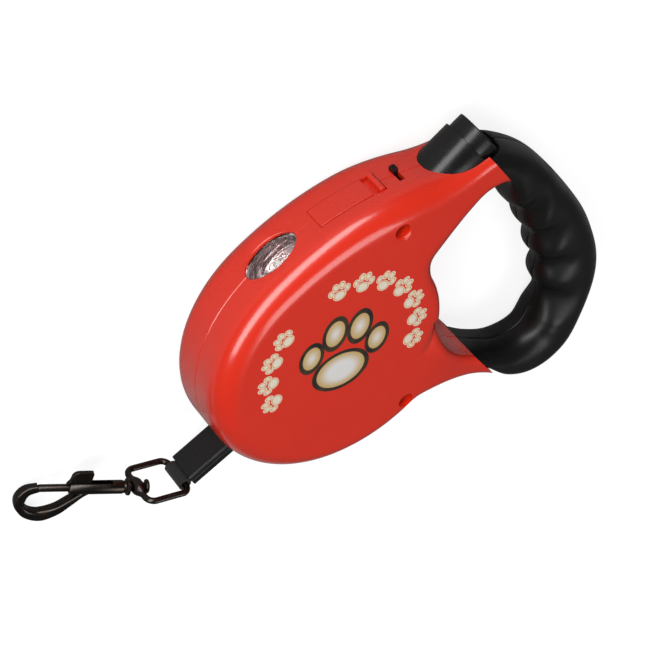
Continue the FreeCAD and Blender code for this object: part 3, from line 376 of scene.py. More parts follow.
def moved(part, matrix):
    """Points and faces moved by a matrix whose places are in metres."""
    return [(matrix @ (Vector(v) * MM)) / MM for v in part[0]], part[1]


def solid_mesh(name, part):
    mesh = bpy.data.meshes.new(name)
    mesh.from_pydata([tuple(Vector(v) * MM) for v in part[0]], [], part[1])
    bm = bmesh.new()
    bm.from_mesh(mesh)
    bmesh.ops.remove_doubles(bm, verts=bm.verts, dist=1e-6)
    bmesh.ops.recalc_face_normals(bm, faces=bm.faces)
    bm.to_mesh(mesh)
    bm.free()
    return mesh


def carved(name, base, cutters):
    """The base mesh with each cutter taken away."""
    work = bpy.data.objects.new(name + "_work", base)
    bpy.context.scene.collection.objects.link(work)
    knives = []
    for number, part in enumerate(cutters):
        knife = bpy.data.objects.new(f"{name}_knife_{number}", solid_mesh(f"{name}_knife_{number}", part))
        bpy.context.scene.collection.objects.link(knife)
        cut = work.modifiers.new(knife.name, "BOOLEAN")
        cut.operation = "DIFFERENCE"
        cut.solver = "EXACT"
        cut.object = knife
        knives.append(knife)
    graph = bpy.context.evaluated_depsgraph_get()
    mesh = bpy.data.meshes.new_from_object(work.evaluated_get(graph))
    for thing in knives + [work]:
        bpy.data.objects.remove(thing)
    return mesh


# ---- shader helpers ----

class Graph:
    """A node tree with short calls for adding and linking nodes."""

    def __init__(self, tree):
        self.tree = tree

    def add(self, kind, inputs=None, **settings):
        made = self.tree.nodes.new(kind)
        for key, value in settings.items():
            setattr(made, key, value)
        for key, value in (inputs or {}).items():
            self.feed(made.inputs[key], value)
        return made

    def feed(self, socket, value):
        if isinstance(value, bpy.types.NodeSocket):
            self.tree.links.new(value, socket)
        else:
            socket.default_value = value

    def maths(self, operation, *values, clamp=False):
        made = self.add("ShaderNodeMath", dict(enumerate(values)), operation=operation, use_clamp=clamp)
        return made.outputs[0]

    def between(self, value, low, high, start=0.0, end=1.0):
        """The value's share of the way from low to high, eased, from start to end."""
        made = self.add("ShaderNodeMapRange", {"Value": value, "From Min": low, "From Max": high,
                                               "To Min": start, "To Max": end},
                        interpolation_type="SMOOTHSTEP")
        return made.outputs["Result"]

    def mixed(self, share, first, second):
        made = self.add("ShaderNodeMix", {"Factor": share}, data_type="RGBA")
        self.feed(made.inputs["A"], first)
        self.feed(made.inputs["B"], second)
        return made.outputs["Result"]

    def noise(self, vector, scale, detail=3.0, roughness=0.55):
        made = self.add("ShaderNodeTexNoise", {"Vector": vector, "Scale": scale, "Detail": detail,
                                               "Roughness": roughness})
        return made.outputs["Fac"]

    def group(self, tree, **inputs):
        made = self.add("ShaderNodeGroup", node_tree=tree)
        for key, value in inputs.items():
            self.feed(made.inputs[key.replace("_", " ").capitalize()], value)
        return made.outputs


def new_group(name, inputs, outputs):
    """An empty shader group with named sockets, its graph, and its input and output nodes."""
    tree = bpy.data.node_groups.new(name, "ShaderNodeTree")
    for label, kind, default in inputs:
        socket = tree.interface.new_socket(label, in_out="INPUT", socket_type=kind)
        if default is not None:
            socket.default_value = default
    for label, kind in outputs:
        tree.interface.new_socket(label, in_out="OUTPUT", socket_type=kind)
    graph = Graph(tree)
    return graph, graph.add("NodeGroupInput").outputs, graph.add("NodeGroupOutput")


FLOAT, COLOUR, VECTOR = "NodeSocketFloat", "NodeSocketColor", "NodeSocketVector"


def moulded_group():
    """Moulded plastic or rubber: slow mottling, hazy patches and a fine orange peel."""
    g, given, out = new_group(
        "moulded surface",
        [("Vector", VECTOR, None), ("Colour", COLOUR, (1, 1, 1, 1)), ("Mottle", FLOAT, 0.06),
         ("Rough", FLOAT, 0.3), ("Haze", FLOAT, 0.08), ("Grain", FLOAT, 900.0)],
        [("Colour", COLOUR), ("Rough", FLOAT), ("Height", FLOAT)])
    slow = g.noise(given["Vector"], 45.0)
    fine = g.noise(given["Vector"], given["Grain"], detail=2.0)
    shade = g.maths("MULTIPLY", g.maths("SUBTRACT", slow, 0.5), given["Mottle"])
    bright = g.maths("ADD", 1.0, shade)
    tinted = g.add("ShaderNodeVectorMath", {0: given["Colour"]}, operation="SCALE")
    g.feed(tinted.inputs["Scale"], bright)
    g.feed(out.inputs["Colour"], tinted.outputs[0])
    patches = g.between(g.noise(given["Vector"], 120.0, detail=4.0), 0.42, 0.72)
    haze = g.maths("MULTIPLY", patches, given["Haze"])
    g.feed(out.inputs["Rough"], g.maths("ADD", given["Rough"], haze, clamp=True))
    g.feed(out.inputs["Height"], fine)
    return g.tree


def dust_group():
    """A few pale specks: how much of each point they cover."""
    g, given, out = new_group(
        "dust specks", [("Vector", VECTOR, None), ("Scale", FLOAT, 420.0), ("Amount", FLOAT, 0.5)],
        [("Mask", FLOAT)])
    cells = g.add("ShaderNodeTexVoronoi", {"Vector": given["Vector"], "Scale": given["Scale"],
                                           "Randomness": 1.0})
    speck = g.between(cells.outputs["Distance"], 0.05, 0.11, 1.0, 0.0)
    chosen = g.between(g.noise(given["Vector"], 160.0, detail=2.0), 0.58, 0.7)
    g.feed(out.inputs["Mask"], g.maths("MULTIPLY", g.maths("MULTIPLY", speck, chosen), given["Amount"]))
    return g.tree


def paw_group():
    """A paw print in a flat frame of one unit: how far inside it a point is, from 1 to 0 at its edge."""
    g, given, out = new_group("paw print", [("Across", FLOAT, 0.0), ("Up", FLOAT, 0.0)], [("Inside", FLOAT)])
    inside = None
    pads = [(0.0, -0.34, 0.44, 0.34), (-0.56, 0.08, 0.17, 0.24), (-0.21, 0.42, 0.18, 0.27),
            (0.21, 0.42, 0.18, 0.27), (0.56, 0.08, 0.17, 0.24)]
    for x, y, wide, high in pads:
        u = g.maths("DIVIDE", g.maths("SUBTRACT", given["Across"], x), wide)
        v = g.maths("DIVIDE", g.maths("SUBTRACT", given["Up"], y), high)
        far = g.maths("SQRT", g.maths("ADD", g.maths("MULTIPLY", u, u), g.maths("MULTIPLY", v, v)))
        depth = g.maths("MULTIPLY", g.maths("SUBTRACT", 1.0, far), min(wide, high))
        inside = depth if inside is None else g.maths("MAXIMUM", inside, depth)
    g.feed(out.inputs["Inside"], inside)
    return g.tree


def weave_group():
    """A plain weave of thick threads: thread height and the shade between threads."""
    g, given, out = new_group(
        "plain weave", [("Along", FLOAT, 0.0), ("Across", FLOAT, 0.0), ("Threads", FLOAT, 900.0)],
        [("Height", FLOAT), ("Shade", FLOAT)])
    turn = g.maths("MULTIPLY", given["Threads"], math.pi)
    warp = g.maths("SINE", g.maths("MULTIPLY", given["Along"], turn))
    weft = g.maths("SINE", g.maths("MULTIPLY", given["Across"], turn))
    over = g.maths("MULTIPLY", warp, weft)
    height = g.maths("ADD", g.maths("ABSOLUTE", over), g.maths("MULTIPLY", over, 0.3))
    g.feed(out.inputs["Height"], height)
    g.feed(out.inputs["Shade"], g.between(height, 0.0, 0.7, 0.35, 1.0))
    return g.tree


GROUPS = {}


def effect(name, maker):
    """A shared shader group, built once."""
    if name not in GROUPS:
        GROUPS[name] = maker()
    return GROUPS[name]


def new_material(name, **constants):
    """A material with its Principled shader, graph and object coordinates."""
    material = bpy.data.materials.new(name)
    material.use_nodes = True
    shader = material.node_tree.nodes["Principled BSDF"]
    for key, value in constants.items():
        shader.inputs[key.replace("_", " ")].default_value = value
    graph = Graph(material.node_tree)
    where = graph.add("ShaderNodeTexCoord").outputs["Object"]
    return material, shader, graph, where


def bump(graph, shader, height, strength, distance):
    made = graph.add("ShaderNodeBump", {"Height": height, "Strength": strength, "Distance": distance})
    graph.feed(shader.inputs["Normal"], made.outputs["Normal"])


def with_alpha(colour):
    return tuple(colour) + (1.0,)


MATERIALS = {}


def finish_of(name, maker):
    """A shared material, built once."""
    if name not in MATERIALS:
        MATERIALS[name] = maker()
    return MATERIALS[name]


def moulded(name, colour, rough, grain=900.0, mottle=0.06, haze=0.08, peel=0.05, dust=0.0, **constants):
    """A moulded plastic or rubber."""
    material, shader, g, where = new_material(name, **constants)
    surface = g.group(effect("moulded", moulded_group), vector=where, colour=with_alpha(colour),
                      mottle=mottle, rough=rough, haze=haze, grain=grain)
    tint = surface["Colour"]
    if dust:
        specks = g.group(effect("dust", dust_group), vector=where, amount=dust)
        tint = g.mixed(specks["Mask"], tint, (0.35, 0.34, 0.32, 1))
    g.feed(shader.inputs["Base Color"], tint)
    g.feed(shader.inputs["Roughness"], surface["Rough"])
    bump(g, shader, surface["Height"], peel, 0.0002)
    return material


GLOSS = {"Coat_Weight": 0.9, "Coat_Roughness": 0.17}


def housing_red():
    s = bpy.context.scene.leash_housing
    return moulded("housing red", s.colour, 0.25, grain=2600.0, mottle=0.02, haze=0.04, peel=0.02,
                   IOR=1.5, **GLOSS)


def grip_rubber():
    s = bpy.context.scene.leash_grip
    return moulded("grip rubber", s.colour, 0.34, grain=1500.0, mottle=0.35, haze=0.1, peel=0.12,
                   dust=0.4, IOR=1.42)


def black_plastic():
    s = bpy.context.scene.leash_fittings
    return moulded("black plastic", s.plastic, 0.26, grain=1200.0, mottle=0.25, haze=0.08, peel=0.08, IOR=1.5)


def inner_plastic():
    return moulded("inner plastic", (0.52, 0.52, 0.50), 0.45, grain=1000.0, mottle=0.12, peel=0.1)


def blackened_metal():
    """Dark nickel plate over cast metal: bright edges of brown and grey, faint casting texture."""
    s = bpy.context.scene.leash_fittings
    material, shader, g, where = new_material("blackened metal", Metallic=1.0)
    surface = g.group(effect("moulded", moulded_group), vector=where, colour=with_alpha(s.metal), mottle=0.5,
                      rough=0.26, haze=0.16, grain=1400.0)
    warm = g.mixed(g.between(g.noise(where, 260.0), 0.4, 0.7), surface["Colour"], (0.058, 0.042, 0.034, 1))
    g.feed(shader.inputs["Base Color"], warm)
    g.feed(shader.inputs["Roughness"], surface["Rough"])
    bump(g, shader, surface["Height"], 0.12, 0.0002)
    return material


def bare_steel(name, colour, rough):
    material, shader, g, where = new_material(name, Metallic=1.0)
    stretched = g.add("ShaderNodeMapping", {"Vector": where, "Scale": (1.0, 1.0, 12.0)})
    lines = g.noise(stretched.outputs["Vector"], 500.0, detail=4.0)
    surface = g.group(effect("moulded", moulded_group), vector=where, colour=with_alpha(colour), mottle=0.15,
                      rough=rough, haze=0.12, grain=1500.0)
    g.feed(shader.inputs["Base Color"], surface["Colour"])
    g.feed(shader.inputs["Roughness"], surface["Rough"])
    bump(g, shader, lines, 0.06, 0.0002)
    return material


def spring_steel():
    return bare_steel("spring steel", (0.48, 0.47, 0.46), 0.3)


def cell_steel():
    return bare_steel("cell steel", (0.68, 0.68, 0.67), 0.22)


def webbing():
    """Black woven tape."""
    material, shader, g, where = new_material("woven tape", Sheen_Weight=0.12, Sheen_Roughness=0.5, IOR=1.45)
    heading = math.atan2(TAPE_AXIS.y, TAPE_AXIS.x)
    turned = g.add("ShaderNodeMapping", {"Vector": where, "Rotation": (0, 0, -heading)})
    parts = g.add("ShaderNodeSeparateXYZ", {0: turned.outputs["Vector"]})
    weave = g.group(effect("weave", weave_group), along=parts.outputs["X"], across=parts.outputs["Z"],
                    threads=1300.0)
    fuzz = g.noise(where, 2200.0, detail=2.0)
    thread = g.mixed(weave["Shade"], (0.004, 0.004, 0.004, 1), (0.020, 0.019, 0.019, 1))
    g.feed(shader.inputs["Base Color"], thread)
    g.feed(shader.inputs["Roughness"], g.between(fuzz, 0.3, 0.7, 0.72, 0.92))
    bump(g, shader, weave["Height"], 0.5, 0.0003)
    return material


def clear_window():
    """Clear moulded lens: faint flow marks on a smooth skin."""
    material, shader, g, where = new_material("clear window", Transmission_Weight=1.0, IOR=1.45)
    surface = g.group(effect("moulded", moulded_group), vector=where, colour=(0.98, 0.98, 0.98, 1),
                      mottle=0.03, rough=0.02, haze=0.05, grain=300.0)
    g.feed(shader.inputs["Base Color"], surface["Colour"])
    g.feed(shader.inputs["Roughness"], surface["Rough"])
    bump(g, shader, surface["Height"], 0.03, 0.0002)
    return material


def bright_reflector():
    """Vacuum-plated plastic: wavy streaks that break the reflections up, and a colour of pale pink and dark
    red streaks that is a painted reflection of the red housing.
    """
    material, shader, g, where = new_material("bright reflector", Metallic=1.0)
    along = g.add("ShaderNodeMapping", {"Vector": where, "Scale": (0.35, 1.6, 1.0)})
    waves = g.noise(along.outputs["Vector"], 420.0, detail=3.0)
    # Painted reflection: the pale pink and dark red streaks of colour stand in for the red housing seen in
    # the bowl.
    tint = g.mixed(g.between(waves, 0.4, 0.65), (0.46, 0.35, 0.35, 1), (0.20, 0.08, 0.08, 1))
    g.feed(shader.inputs["Base Color"], tint)
    g.feed(shader.inputs["Roughness"], g.between(waves, 0.3, 0.7, 0.10, 0.3))
    bump(g, shader, waves, 0.9, 0.0012)
    return material


def circuit_board():
    material, shader, g, where = new_material("circuit board")
    bricks = g.add("ShaderNodeTexBrick", {"Vector": where, "Scale": 260.0, "Color1": (0.01, 0.11, 0.04, 1),
                                          "Color2": (0.01, 0.13, 0.05, 1), "Mortar": (0.05, 0.25, 0.10, 1)})
    g.feed(shader.inputs["Base Color"], bricks.outputs["Color"])
    g.feed(shader.inputs["Roughness"], g.between(g.noise(where, 700.0), 0.3, 0.7, 0.35, 0.55))
    bump(g, shader, bricks.outputs["Fac"], 0.2, 0.0001)
    return material


def wire_jacket():
    return moulded("wire jacket", (0.45, 0.02, 0.02), 0.4, grain=1800.0, mottle=0.2)


def led_dome():
    return moulded("lamp resin", (0.80, 0.80, 0.72), 0.12, grain=600.0, mottle=0.05, Coat_Weight=0.5)


def printed_face():
    """The housing's red with a generic print: two arcs of small paws and one large paw."""
    s = bpy.context.scene.leash_housing
    material, shader, g, where = new_material("printed housing red", IOR=1.5, **GLOSS)
    surface = g.group(effect("moulded", moulded_group), vector=where, colour=with_alpha(s.colour),
                      mottle=0.02, rough=0.25, haze=0.04, grain=2600.0)
    parts = g.add("ShaderNodeSeparateXYZ", {0: where})
    x = g.maths("SUBTRACT", g.maths("DIVIDE", parts.outputs["X"], MM), PRINT_CENTRE[0])
    y = g.maths("SUBTRACT", g.maths("DIVIDE", parts.outputs["Y"], MM), PRINT_CENTRE[1])
    far = g.maths("SQRT", g.maths("ADD", g.maths("MULTIPLY", x, x), g.maths("MULTIPLY", y, y)))
    swing = g.maths("MULTIPLY", g.maths("ARCTAN2", y, x), 180 / math.pi)
    paw = effect("paw", paw_group)
    on_top = g.between(parts.outputs["Z"], (SEAM + DISC_HALF - 0.4) * MM, (SEAM + DISC_HALF - 0.2) * MM)
    colour = surface["Colour"]
    for start, end, count in ((99.0, 173.0, 4), (-60.0, 70.0, 7)):
        cell = (end - start) / count
        share = g.maths("DIVIDE", g.maths("SUBTRACT", swing, start), cell)
        local = g.maths("SUBTRACT", g.maths("FRACT", share), 0.5)
        across = g.maths("DIVIDE", g.maths("MULTIPLY", local, -math.radians(cell) * ARC_RADIUS), SMALL_PAW)
        up = g.maths("DIVIDE", g.maths("SUBTRACT", far, ARC_RADIUS), SMALL_PAW)
        inside = g.group(paw, across=across, up=up)["Inside"]
        begun, ended = g.maths("GREATER_THAN", share, 0.0), g.maths("LESS_THAN", share, float(count))
        held = g.maths("MULTIPLY", g.maths("MULTIPLY", begun, ended), on_top)
        for low, high, ink in ((-0.05, -0.03, s.ink), (0.0, 0.02, s.amber), (0.05, 0.07, s.ink)):
            cover = g.maths("MULTIPLY", held, g.between(inside, low, high))
            colour = g.mixed(cover, colour, with_alpha(ink))
    lean = math.radians(PRINT_LEAN)
    across = g.maths("DIVIDE", g.maths("SUBTRACT", g.maths("MULTIPLY", x, math.sin(lean)),
                                       g.maths("MULTIPLY", y, math.cos(lean))), BIG_PAW)
    up = g.maths("DIVIDE", g.maths("ADD", g.maths("MULTIPLY", x, math.cos(lean)),
                                   g.maths("MULTIPLY", y, math.sin(lean))), BIG_PAW)
    inside = g.group(paw, across=across, up=up)["Inside"]
    shading = g.between(g.noise(where, 150.0, detail=5.0), 0.35, 0.65)
    dark = g.mixed(shading, (0.012, 0.010, 0.008, 1), (0.055, 0.032, 0.012, 1))
    colour = g.mixed(g.maths("MULTIPLY", on_top, g.between(inside, -0.045, -0.035)), colour, dark)
    pale = g.mixed(g.between(inside, 0.02, 0.2), (0.62, 0.42, 0.16, 1), (0.82, 0.80, 0.78, 1))
    colour = g.mixed(g.maths("MULTIPLY", on_top, g.between(inside, 0.015, 0.03)), colour, pale)
    g.feed(shader.inputs["Base Color"], colour)
    g.feed(shader.inputs["Roughness"], surface["Rough"])
    bump(g, shader, surface["Height"], 0.02, 0.0002)
    return material


PRINT_CENTRE = (1.0, 4.0)
PRINT_LEAN = 48.0
ARC_RADIUS = 31.5
SMALL_PAW = 5.9
BIG_PAW = 25.0


# ---- housing ----

def crown_height(x):
    return math.sqrt(CROWN_RADIUS ** 2 - x * x) + CROWN_Y


def throat_point(degrees):
    angle = math.radians(degrees)
    return THROAT_RADIUS * math.cos(angle), -THROAT_RADIUS * math.sin(angle)


def edged(points, first, last=None):
    """Points of the outline with the rounding of the edge there as a third number."""
    last = first if last is None else last
    step = (last - first) / max(1, len(points) - 1)
    return [Vector((point[0], point[1], first + step * number)) for number, point in enumerate(points)]


def housing_outline(rounding, throat):
    """The outline of disc and arms, clockwise from the crown; both arms run on past their ends."""
    root = (0.0, DISC_RADIUS)
    root_y = math.sqrt(DISC_RADIUS ** 2 - FOOT_X ** 2)
    shoulder = (SHOULDER_X, crown_height(SHOULDER_X) - 0.2)
    line = edged(arc_points(root, shoulder, CROWN_RADIUS, -1), rounding)
    line += edged(arc_points(shoulder, (UPPER_END, UPPER_TOP), FLANK_RADIUS, 1), rounding, ARM_ROUND)
    line += edged([(UPPER_END + x, y) for x, y in UPPER_RUN_ON], ARM_ROUND)
    line += edged(arc_points((UPPER_END, UPPER_LOW), WEB_CORNER, 16.0, 1), ARM_ROUND)
    line += edged(arc_points(WEB_CORNER, THROAT_CORNER, 120.0, 1), ARM_ROUND, rounding)
    bend, turn = throat_point(THROAT_START), throat_point(THROAT_END)
    line += edged(arc_points(THROAT_CORNER, bend, 9.0, 1), rounding, throat)
    line += edged(arc_points(bend, turn, THROAT_RADIUS, -1), throat, 4.0)
    line += edged(arc_points(turn, (LOWER_END, LOWER_TOP), 36.0, 1), 3.6, LOWER_ROUND)
    line += edged([(LOWER_END + x, y) for x, y in LOWER_RUN_ON], LOWER_ROUND)
    foot = (FOOT_X + 0.5, 0.4 - root_y)
    line += edged(arc_points((LOWER_END, LOWER_LOW), foot, FLANK_RADIUS, 1), LOWER_ROUND, ARM_ROUND)
    line += edged(arc_points((FOOT_X, -root_y), (-DISC_RADIUS, 0.0), DISC_RADIUS, -1), ARM_ROUND, rounding)
    line += edged(arc_points((-DISC_RADIUS, 0.0), root, DISC_RADIUS, -1), rounding)
    points = spread(line, OUTLINE_POINTS, closed=True)
    for _ in range(OUTLINE_SMOOTHING):
        following = points[1:] + points[:1]
        points = [(points[i - 1] + points[i] * 2 + following[i]) / 4 for i in range(len(points))]
    return points


def arm_drop(x, y):
    """How far an arm's face lies below the disc's."""
    if x > 38 and y > -12:
        return UPPER_DROP * smooth_step(x, 42, UPPER_END - 2)
    low = math.degrees(math.atan2(-y, x))
    if x > -5 and y < -20 and 36 < low < 110:
        along = (x - 14) * 0.45 - (y + 44) * 0.89
        across = 1 - smooth_step(low, 46, 63)
        return LOWER_DROP * (1 - (1 - smooth_step(along, 0, 34)) * (1 - across))
    return 0.0


def face_level(x, y):
    """Height of the face above the seam, before its outer edge is rounded."""
    drop = arm_drop(x, y)
    far = math.hypot(x, y)
    low = math.degrees(math.atan2(-y, x))
    if 38 < low < 80 and far < THROAT_RADIUS + 0.5:
        inside = far - (THROAT_RADIUS - STEP_ROUND)
        if inside <= 0:
            return DISC_HALF
        inside = min(inside, STEP_ROUND)
        fall = STEP_ROUND - math.sqrt(STEP_ROUND ** 2 - inside ** 2)
        return DISC_HALF - min(fall, drop)
    if low <= 38 and x < 46 and y < 0:
        return DISC_HALF
    return DISC_HALF - drop


def housing_block(settings, front):
    """One closed half of the housing, seam down: walls, a rounded edge and the flowing face."""
    rounding = (settings.face_round if front else settings.rear_round) / MM
    line = housing_outline(rounding, THROAT_ROUND)
    size = len(line)
    inward = []
    for index, point in enumerate(line):
        along = (line[(index + 1) % size] - line[index - 1]).xy.normalized()
        inward.append(Vector((along.y, -along.x)))
    verts = [(p.x + n.x * SEAM_NICK, p.y + n.y * SEAM_NICK, SEAM + SEAM_GAP) for p, n in zip(line, inward)]
    for height in (0.24, 1.6, 3.2):
        verts += [(p.x, p.y, SEAM + height) for p in line]
    steps = 9
    for step in range(steps + 1):
        angle = math.pi / 2 * step / steps
        for point, normal in zip(line, inward):
            x, y = point.xy + normal * point.z * (1 - math.cos(angle))
            top = face_level(x, y)
            verts.append((x, y, SEAM + top - point.z * (1 - math.sin(angle))))
    rows = 4 + steps + 1
    faces = ring_faces(rows, size)
    faces.append(tuple(reversed(range(size))))
    rim = [Vector(v[:2]) for v in verts[-size:]]
    first = len(verts) - size
    fill_verts, fill_faces = face_fill(rim, settings.grid / MM)
    index_of = []
    for number, point in enumerate(fill_verts):
        if number < size:
            index_of.append(first + number)
        else:
            index_of.append(len(verts))
            verts.append((point.x, point.y, SEAM + face_level(point.x, point.y)))
    faces += [tuple(index_of[i] for i in face) for face in fill_faces]
    return verts, faces


def face_fill(rim, step):
    """Points and triangles that fill the face inside a rim, with a finer fan at the throat's step."""
    fan, grid = [], []
    for reach in FAN_REACHES:
        for number in range(FAN_COUNT):
            angle = math.radians(-FAN_START - number * FAN_STEP)
            fan.append(Vector((math.cos(angle), math.sin(angle))) * (THROAT_RADIUS + reach))
    low_x, high_x = min(p.x for p in rim), max(p.x for p in rim)
    y, high_y = min(p.y for p in rim), max(p.y for p in rim)
    shift = 0.0
    while y < high_y:
        x = low_x + shift
        while x < high_x:
            grid.append(Vector((x, y)))
            x += step
        y += step * 0.866
        shift = step / 2 - shift
    clear = step * 0.55
    points = list(rim)
    points += [p for p in fan if inside_of(p, rim, clear)]
    points += [p for p in grid if inside_of(p, rim, clear) and not near_throat(p, step * 0.5)]
    size = len(rim)
    edges = [(index, (index + 1) % size) for index in range(size)]
    made = delaunay_2d_cdt(points, edges, [], 1, 1e-5)
    return made[0], made[2]


def near_throat(point, margin):
    """Whether a point lies in the finer fan."""
    far = point.length - THROAT_RADIUS
    low = math.degrees(math.atan2(-point.y, point.x))
    return FAN_REACHES[0] - margin < far < FAN_REACHES[-1] + margin and 39.5 < low < 81


def inside_of(point, rim, margin):
    """Whether a point is inside a closed line and clear of it."""
    inside = False
    x, y = point
    size = len(rim)
    for index in range(size):
        a, b = rim[index], rim[(index + 1) % size]
        if (a.y > y) != (b.y > y) and x < (b.x - a.x) * (y - a.y) / (b.y - a.y) + a.x:
            inside = not inside
    return inside and all((p - point).length_squared > margin * margin for p in rim)


def cavity_outline():
    """The hollow inside disc and shoulder, clear of both arms."""
    end = 61.0
    wall_crown = CROWN_RADIUS - WALL
    corner = (end, math.sqrt(wall_crown ** 2 - end ** 2) + CROWN_Y)
    line = arc_points((0.0, DISC_RADIUS - WALL), corner, wall_crown, -1, 3)
    line += [Vector(corner), Vector((57.0, 9.5)), Vector((48.3, 3.0))]
    reach = THROAT_RADIUS - WALL
    low = math.radians(62)
    line += arc_points((reach, 0.0), (reach * math.cos(low), -reach * math.sin(low)), reach, -1, 3)
    disc = DISC_RADIUS - WALL
    line += arc_points((FOOT_X, -math.sqrt(disc ** 2 - FOOT_X ** 2)), (-disc, 0.0), disc, -1, 3)
    line += arc_points((-disc, 0.0), (0.0, disc), disc, -1, 3)
    return line


def flared(outline, low, high, flare, depth):
    """A block over an outline that widens towards its top by a flare, for a soft lip."""
    size = len(outline)
    rings = [(low, 0.0), (high - depth, 0.0), (high - depth * 0.6, flare * 0.12),
             (high - depth * 0.25, flare * 0.5), (high, flare), (high + 3.0, flare)]
    verts = []
    for height, out in rings:
        for x, y in outline:
            reach = math.hypot(x, y)
            verts.append((x * (1 + out / reach), y * (1 + out / reach), height))
    faces = ring_faces(len(rings), size)
    faces += [tuple(reversed(range(size))), tuple(range(len(verts) - size, len(verts)))]
    return verts, faces


def on_rim(part, degrees):
    """A part built over the xy plane, stood up so that its height runs outwards from the crown."""
    upright = Matrix.Rotation(math.radians(-90), 4, "X")
    return moved(part, rim_frame(degrees) @ upright)


def housing_cutters(front):
    """Everything that a half of the housing makes room for."""
    side = 1 if front else -1
    hollow_low, hollow_high = sorted((SEAM - side, SEAM + side * HOLLOW))
    bay_low, bay_high = sorted((SEAM - side, SEAM + side * BAY_DEPTH))
    far = 20.0
    pocket = SLEEVE_RADIUS + FIT
    under, over = CROWN_RADIUS - 6, CROWN_RADIUS + 4
    cutters = [
        prism(cavity_outline(), hollow_low, hollow_high),
        block((53.0, 9.5, bay_low), (62.8, 27.5, bay_high)),
        block((UPPER_END, -45.0, SEAM - far), (UPPER_END + 45, 30.0, SEAM + far)),
        block((LOWER_END, -110.0, SEAM - far), (LOWER_END + far, -58.0, SEAM + far)),
        moved(lathe([(SHAFT_START, 0.0), (SHAFT_START, SHAFT_ROOM), (POCKET_START, SHAFT_ROOM),
                     (POCKET_START, pocket), (POCKET_END, pocket), (POCKET_END, 0.0)]), button_frame()),
        moved(block((-25.0, -2.8, -6.6), (2.0, 2.8, 6.6)), tape_frame()),
        moved(nozzle_funnel(), tape_frame()),
        on_rim(flared(oval_outline(*LENS_OPENING), CROWN_RADIUS - 9, CROWN_RADIUS + 0.1, 0.9, 0.9),
               LENS_ANGLE),
        moved(block((DOOR_START, under, -DOOR_HALF), (DOOR_END, over, DOOR_HALF)), rim_frame(DOOR_ANGLE)),
        moved(block((-SLOT_WIDE, under, -SLOT_HIGH), (SLOT_WIDE, over, SLOT_HIGH)), rim_frame(SWITCH_ANGLE)),
    ]
    if not front:
        low, high = SPRING_FLOOR, SEAM - 8.0
        cup_room = lathe([(low, 0.0), (low, CUP_ROOM), (high, CUP_ROOM), (high, 0.0)])
        cutters.append(moved(cup_room, SPOOL_TURN))
    if front:
        for x, y in SCREWS:
            mouth = SEAM + face_level(x, y) + 0.05
            round_well = oval_outline(WELL_RADIUS, WELL_RADIUS, 48)
            well = flared(round_well, SEAM + WELL_FLOOR, mouth, 0.6, 0.7)
            cutters.append(([(v[0] + x, v[1] + y, v[2]) for v in well[0]], well[1]))
    return cutters


def nozzle_funnel():
    """A sloped mouth round the nozzle, wide at the rim and closing on the nozzle inside it."""
    verts = []
    for x, half_y, half_z in ((-23.3, 2.75, 6.55), (-19.9, 3.2, 7.0), (-17.3, 5.4, 8.6), (-9.3, 9.0, 11.0)):
        verts += [(x, -half_y, -half_z), (x, half_y, -half_z), (x, half_y, half_z), (x, -half_y, half_z)]
    faces = ring_faces(4, 4) + [(3, 2, 1, 0), (12, 13, 14, 15)]
    return verts, faces


def build_housing():
    """Both halves of the housing."""
    settings = bpy.context.scene.leash_housing
    for name, front in (("front_housing", True), ("rear_housing", False)):
        verts, faces = housing_block(settings, front)
        shape = verts if front else [(x, y, 2 * SEAM - z) for x, y, z in verts]
        mesh = carved(name, solid_mesh(name + "_block", (shape, faces)), housing_cutters(front))
        material = finish_of("printed face", printed_face) if front else finish_of("red", housing_red)
        finish_piece(name, mesh, material, "housing", sharp=32,
                     replaces=["front_shell" if front else "rear_shell"])


# ---- grip ----

GRIP_STATIONS, GRIP_AROUND = 230, 40
GRIP_GROOVE = 0.25
SCOOP_SHARE = 0.3
GRIP_OUTER = [(86.0, 17.0), (94.0, 7.0), (100.0, -12.0), (101.0, -44.0), (98.5, -66.0), (90.0, -88.5),
              (68.0, -108.0), (54.0, -112.5), (42.0, -108.5), (34.0, -98.0), (31.0, -83.0)]
# The third number is the depth of the finger hollow there, from 0 to 1.
GRIP_INNER = [(86.0, -3.5, 0.0), (82.5, -12.0, 0.5), (80.5, -21.0, 0.0), (82.0, -29.0, 1.0),
              (79.0, -38.0, 0.0), (79.5, -46.5, 1.0), (75.0, -55.0, 0.0), (74.5, -63.0, 1.0),
              (69.0, -70.5, 0.0), (66.5, -79.0, 1.0), (58.0, -86.5, 0.0), (50.0, -89.0, 0.2),
              (41.0, -84.0, 0.0), (35.0, -74.0, 0.0), (31.0, -65.0, 0.0)]


def clear_of_button(point):
    """The point, moved off the button's axis until it clears the sleeve and the button."""
    off = Vector((point.y - BUTTON_Y, point.z - SEAM))
    room = (SLEEVE_RADIUS + FIT) * (1 - 0.25 * smooth_step(point.x, BUTTON_HIGH.x + 0.3, BUTTON_HIGH.x + 3.0))
    if off.length >= room or point.x > BUTTON_HIGH.x + 3.0:
        return point
    off = off.normalized() * room
    return Vector((point.x, BUTTON_Y + off.x, SEAM + off.y))


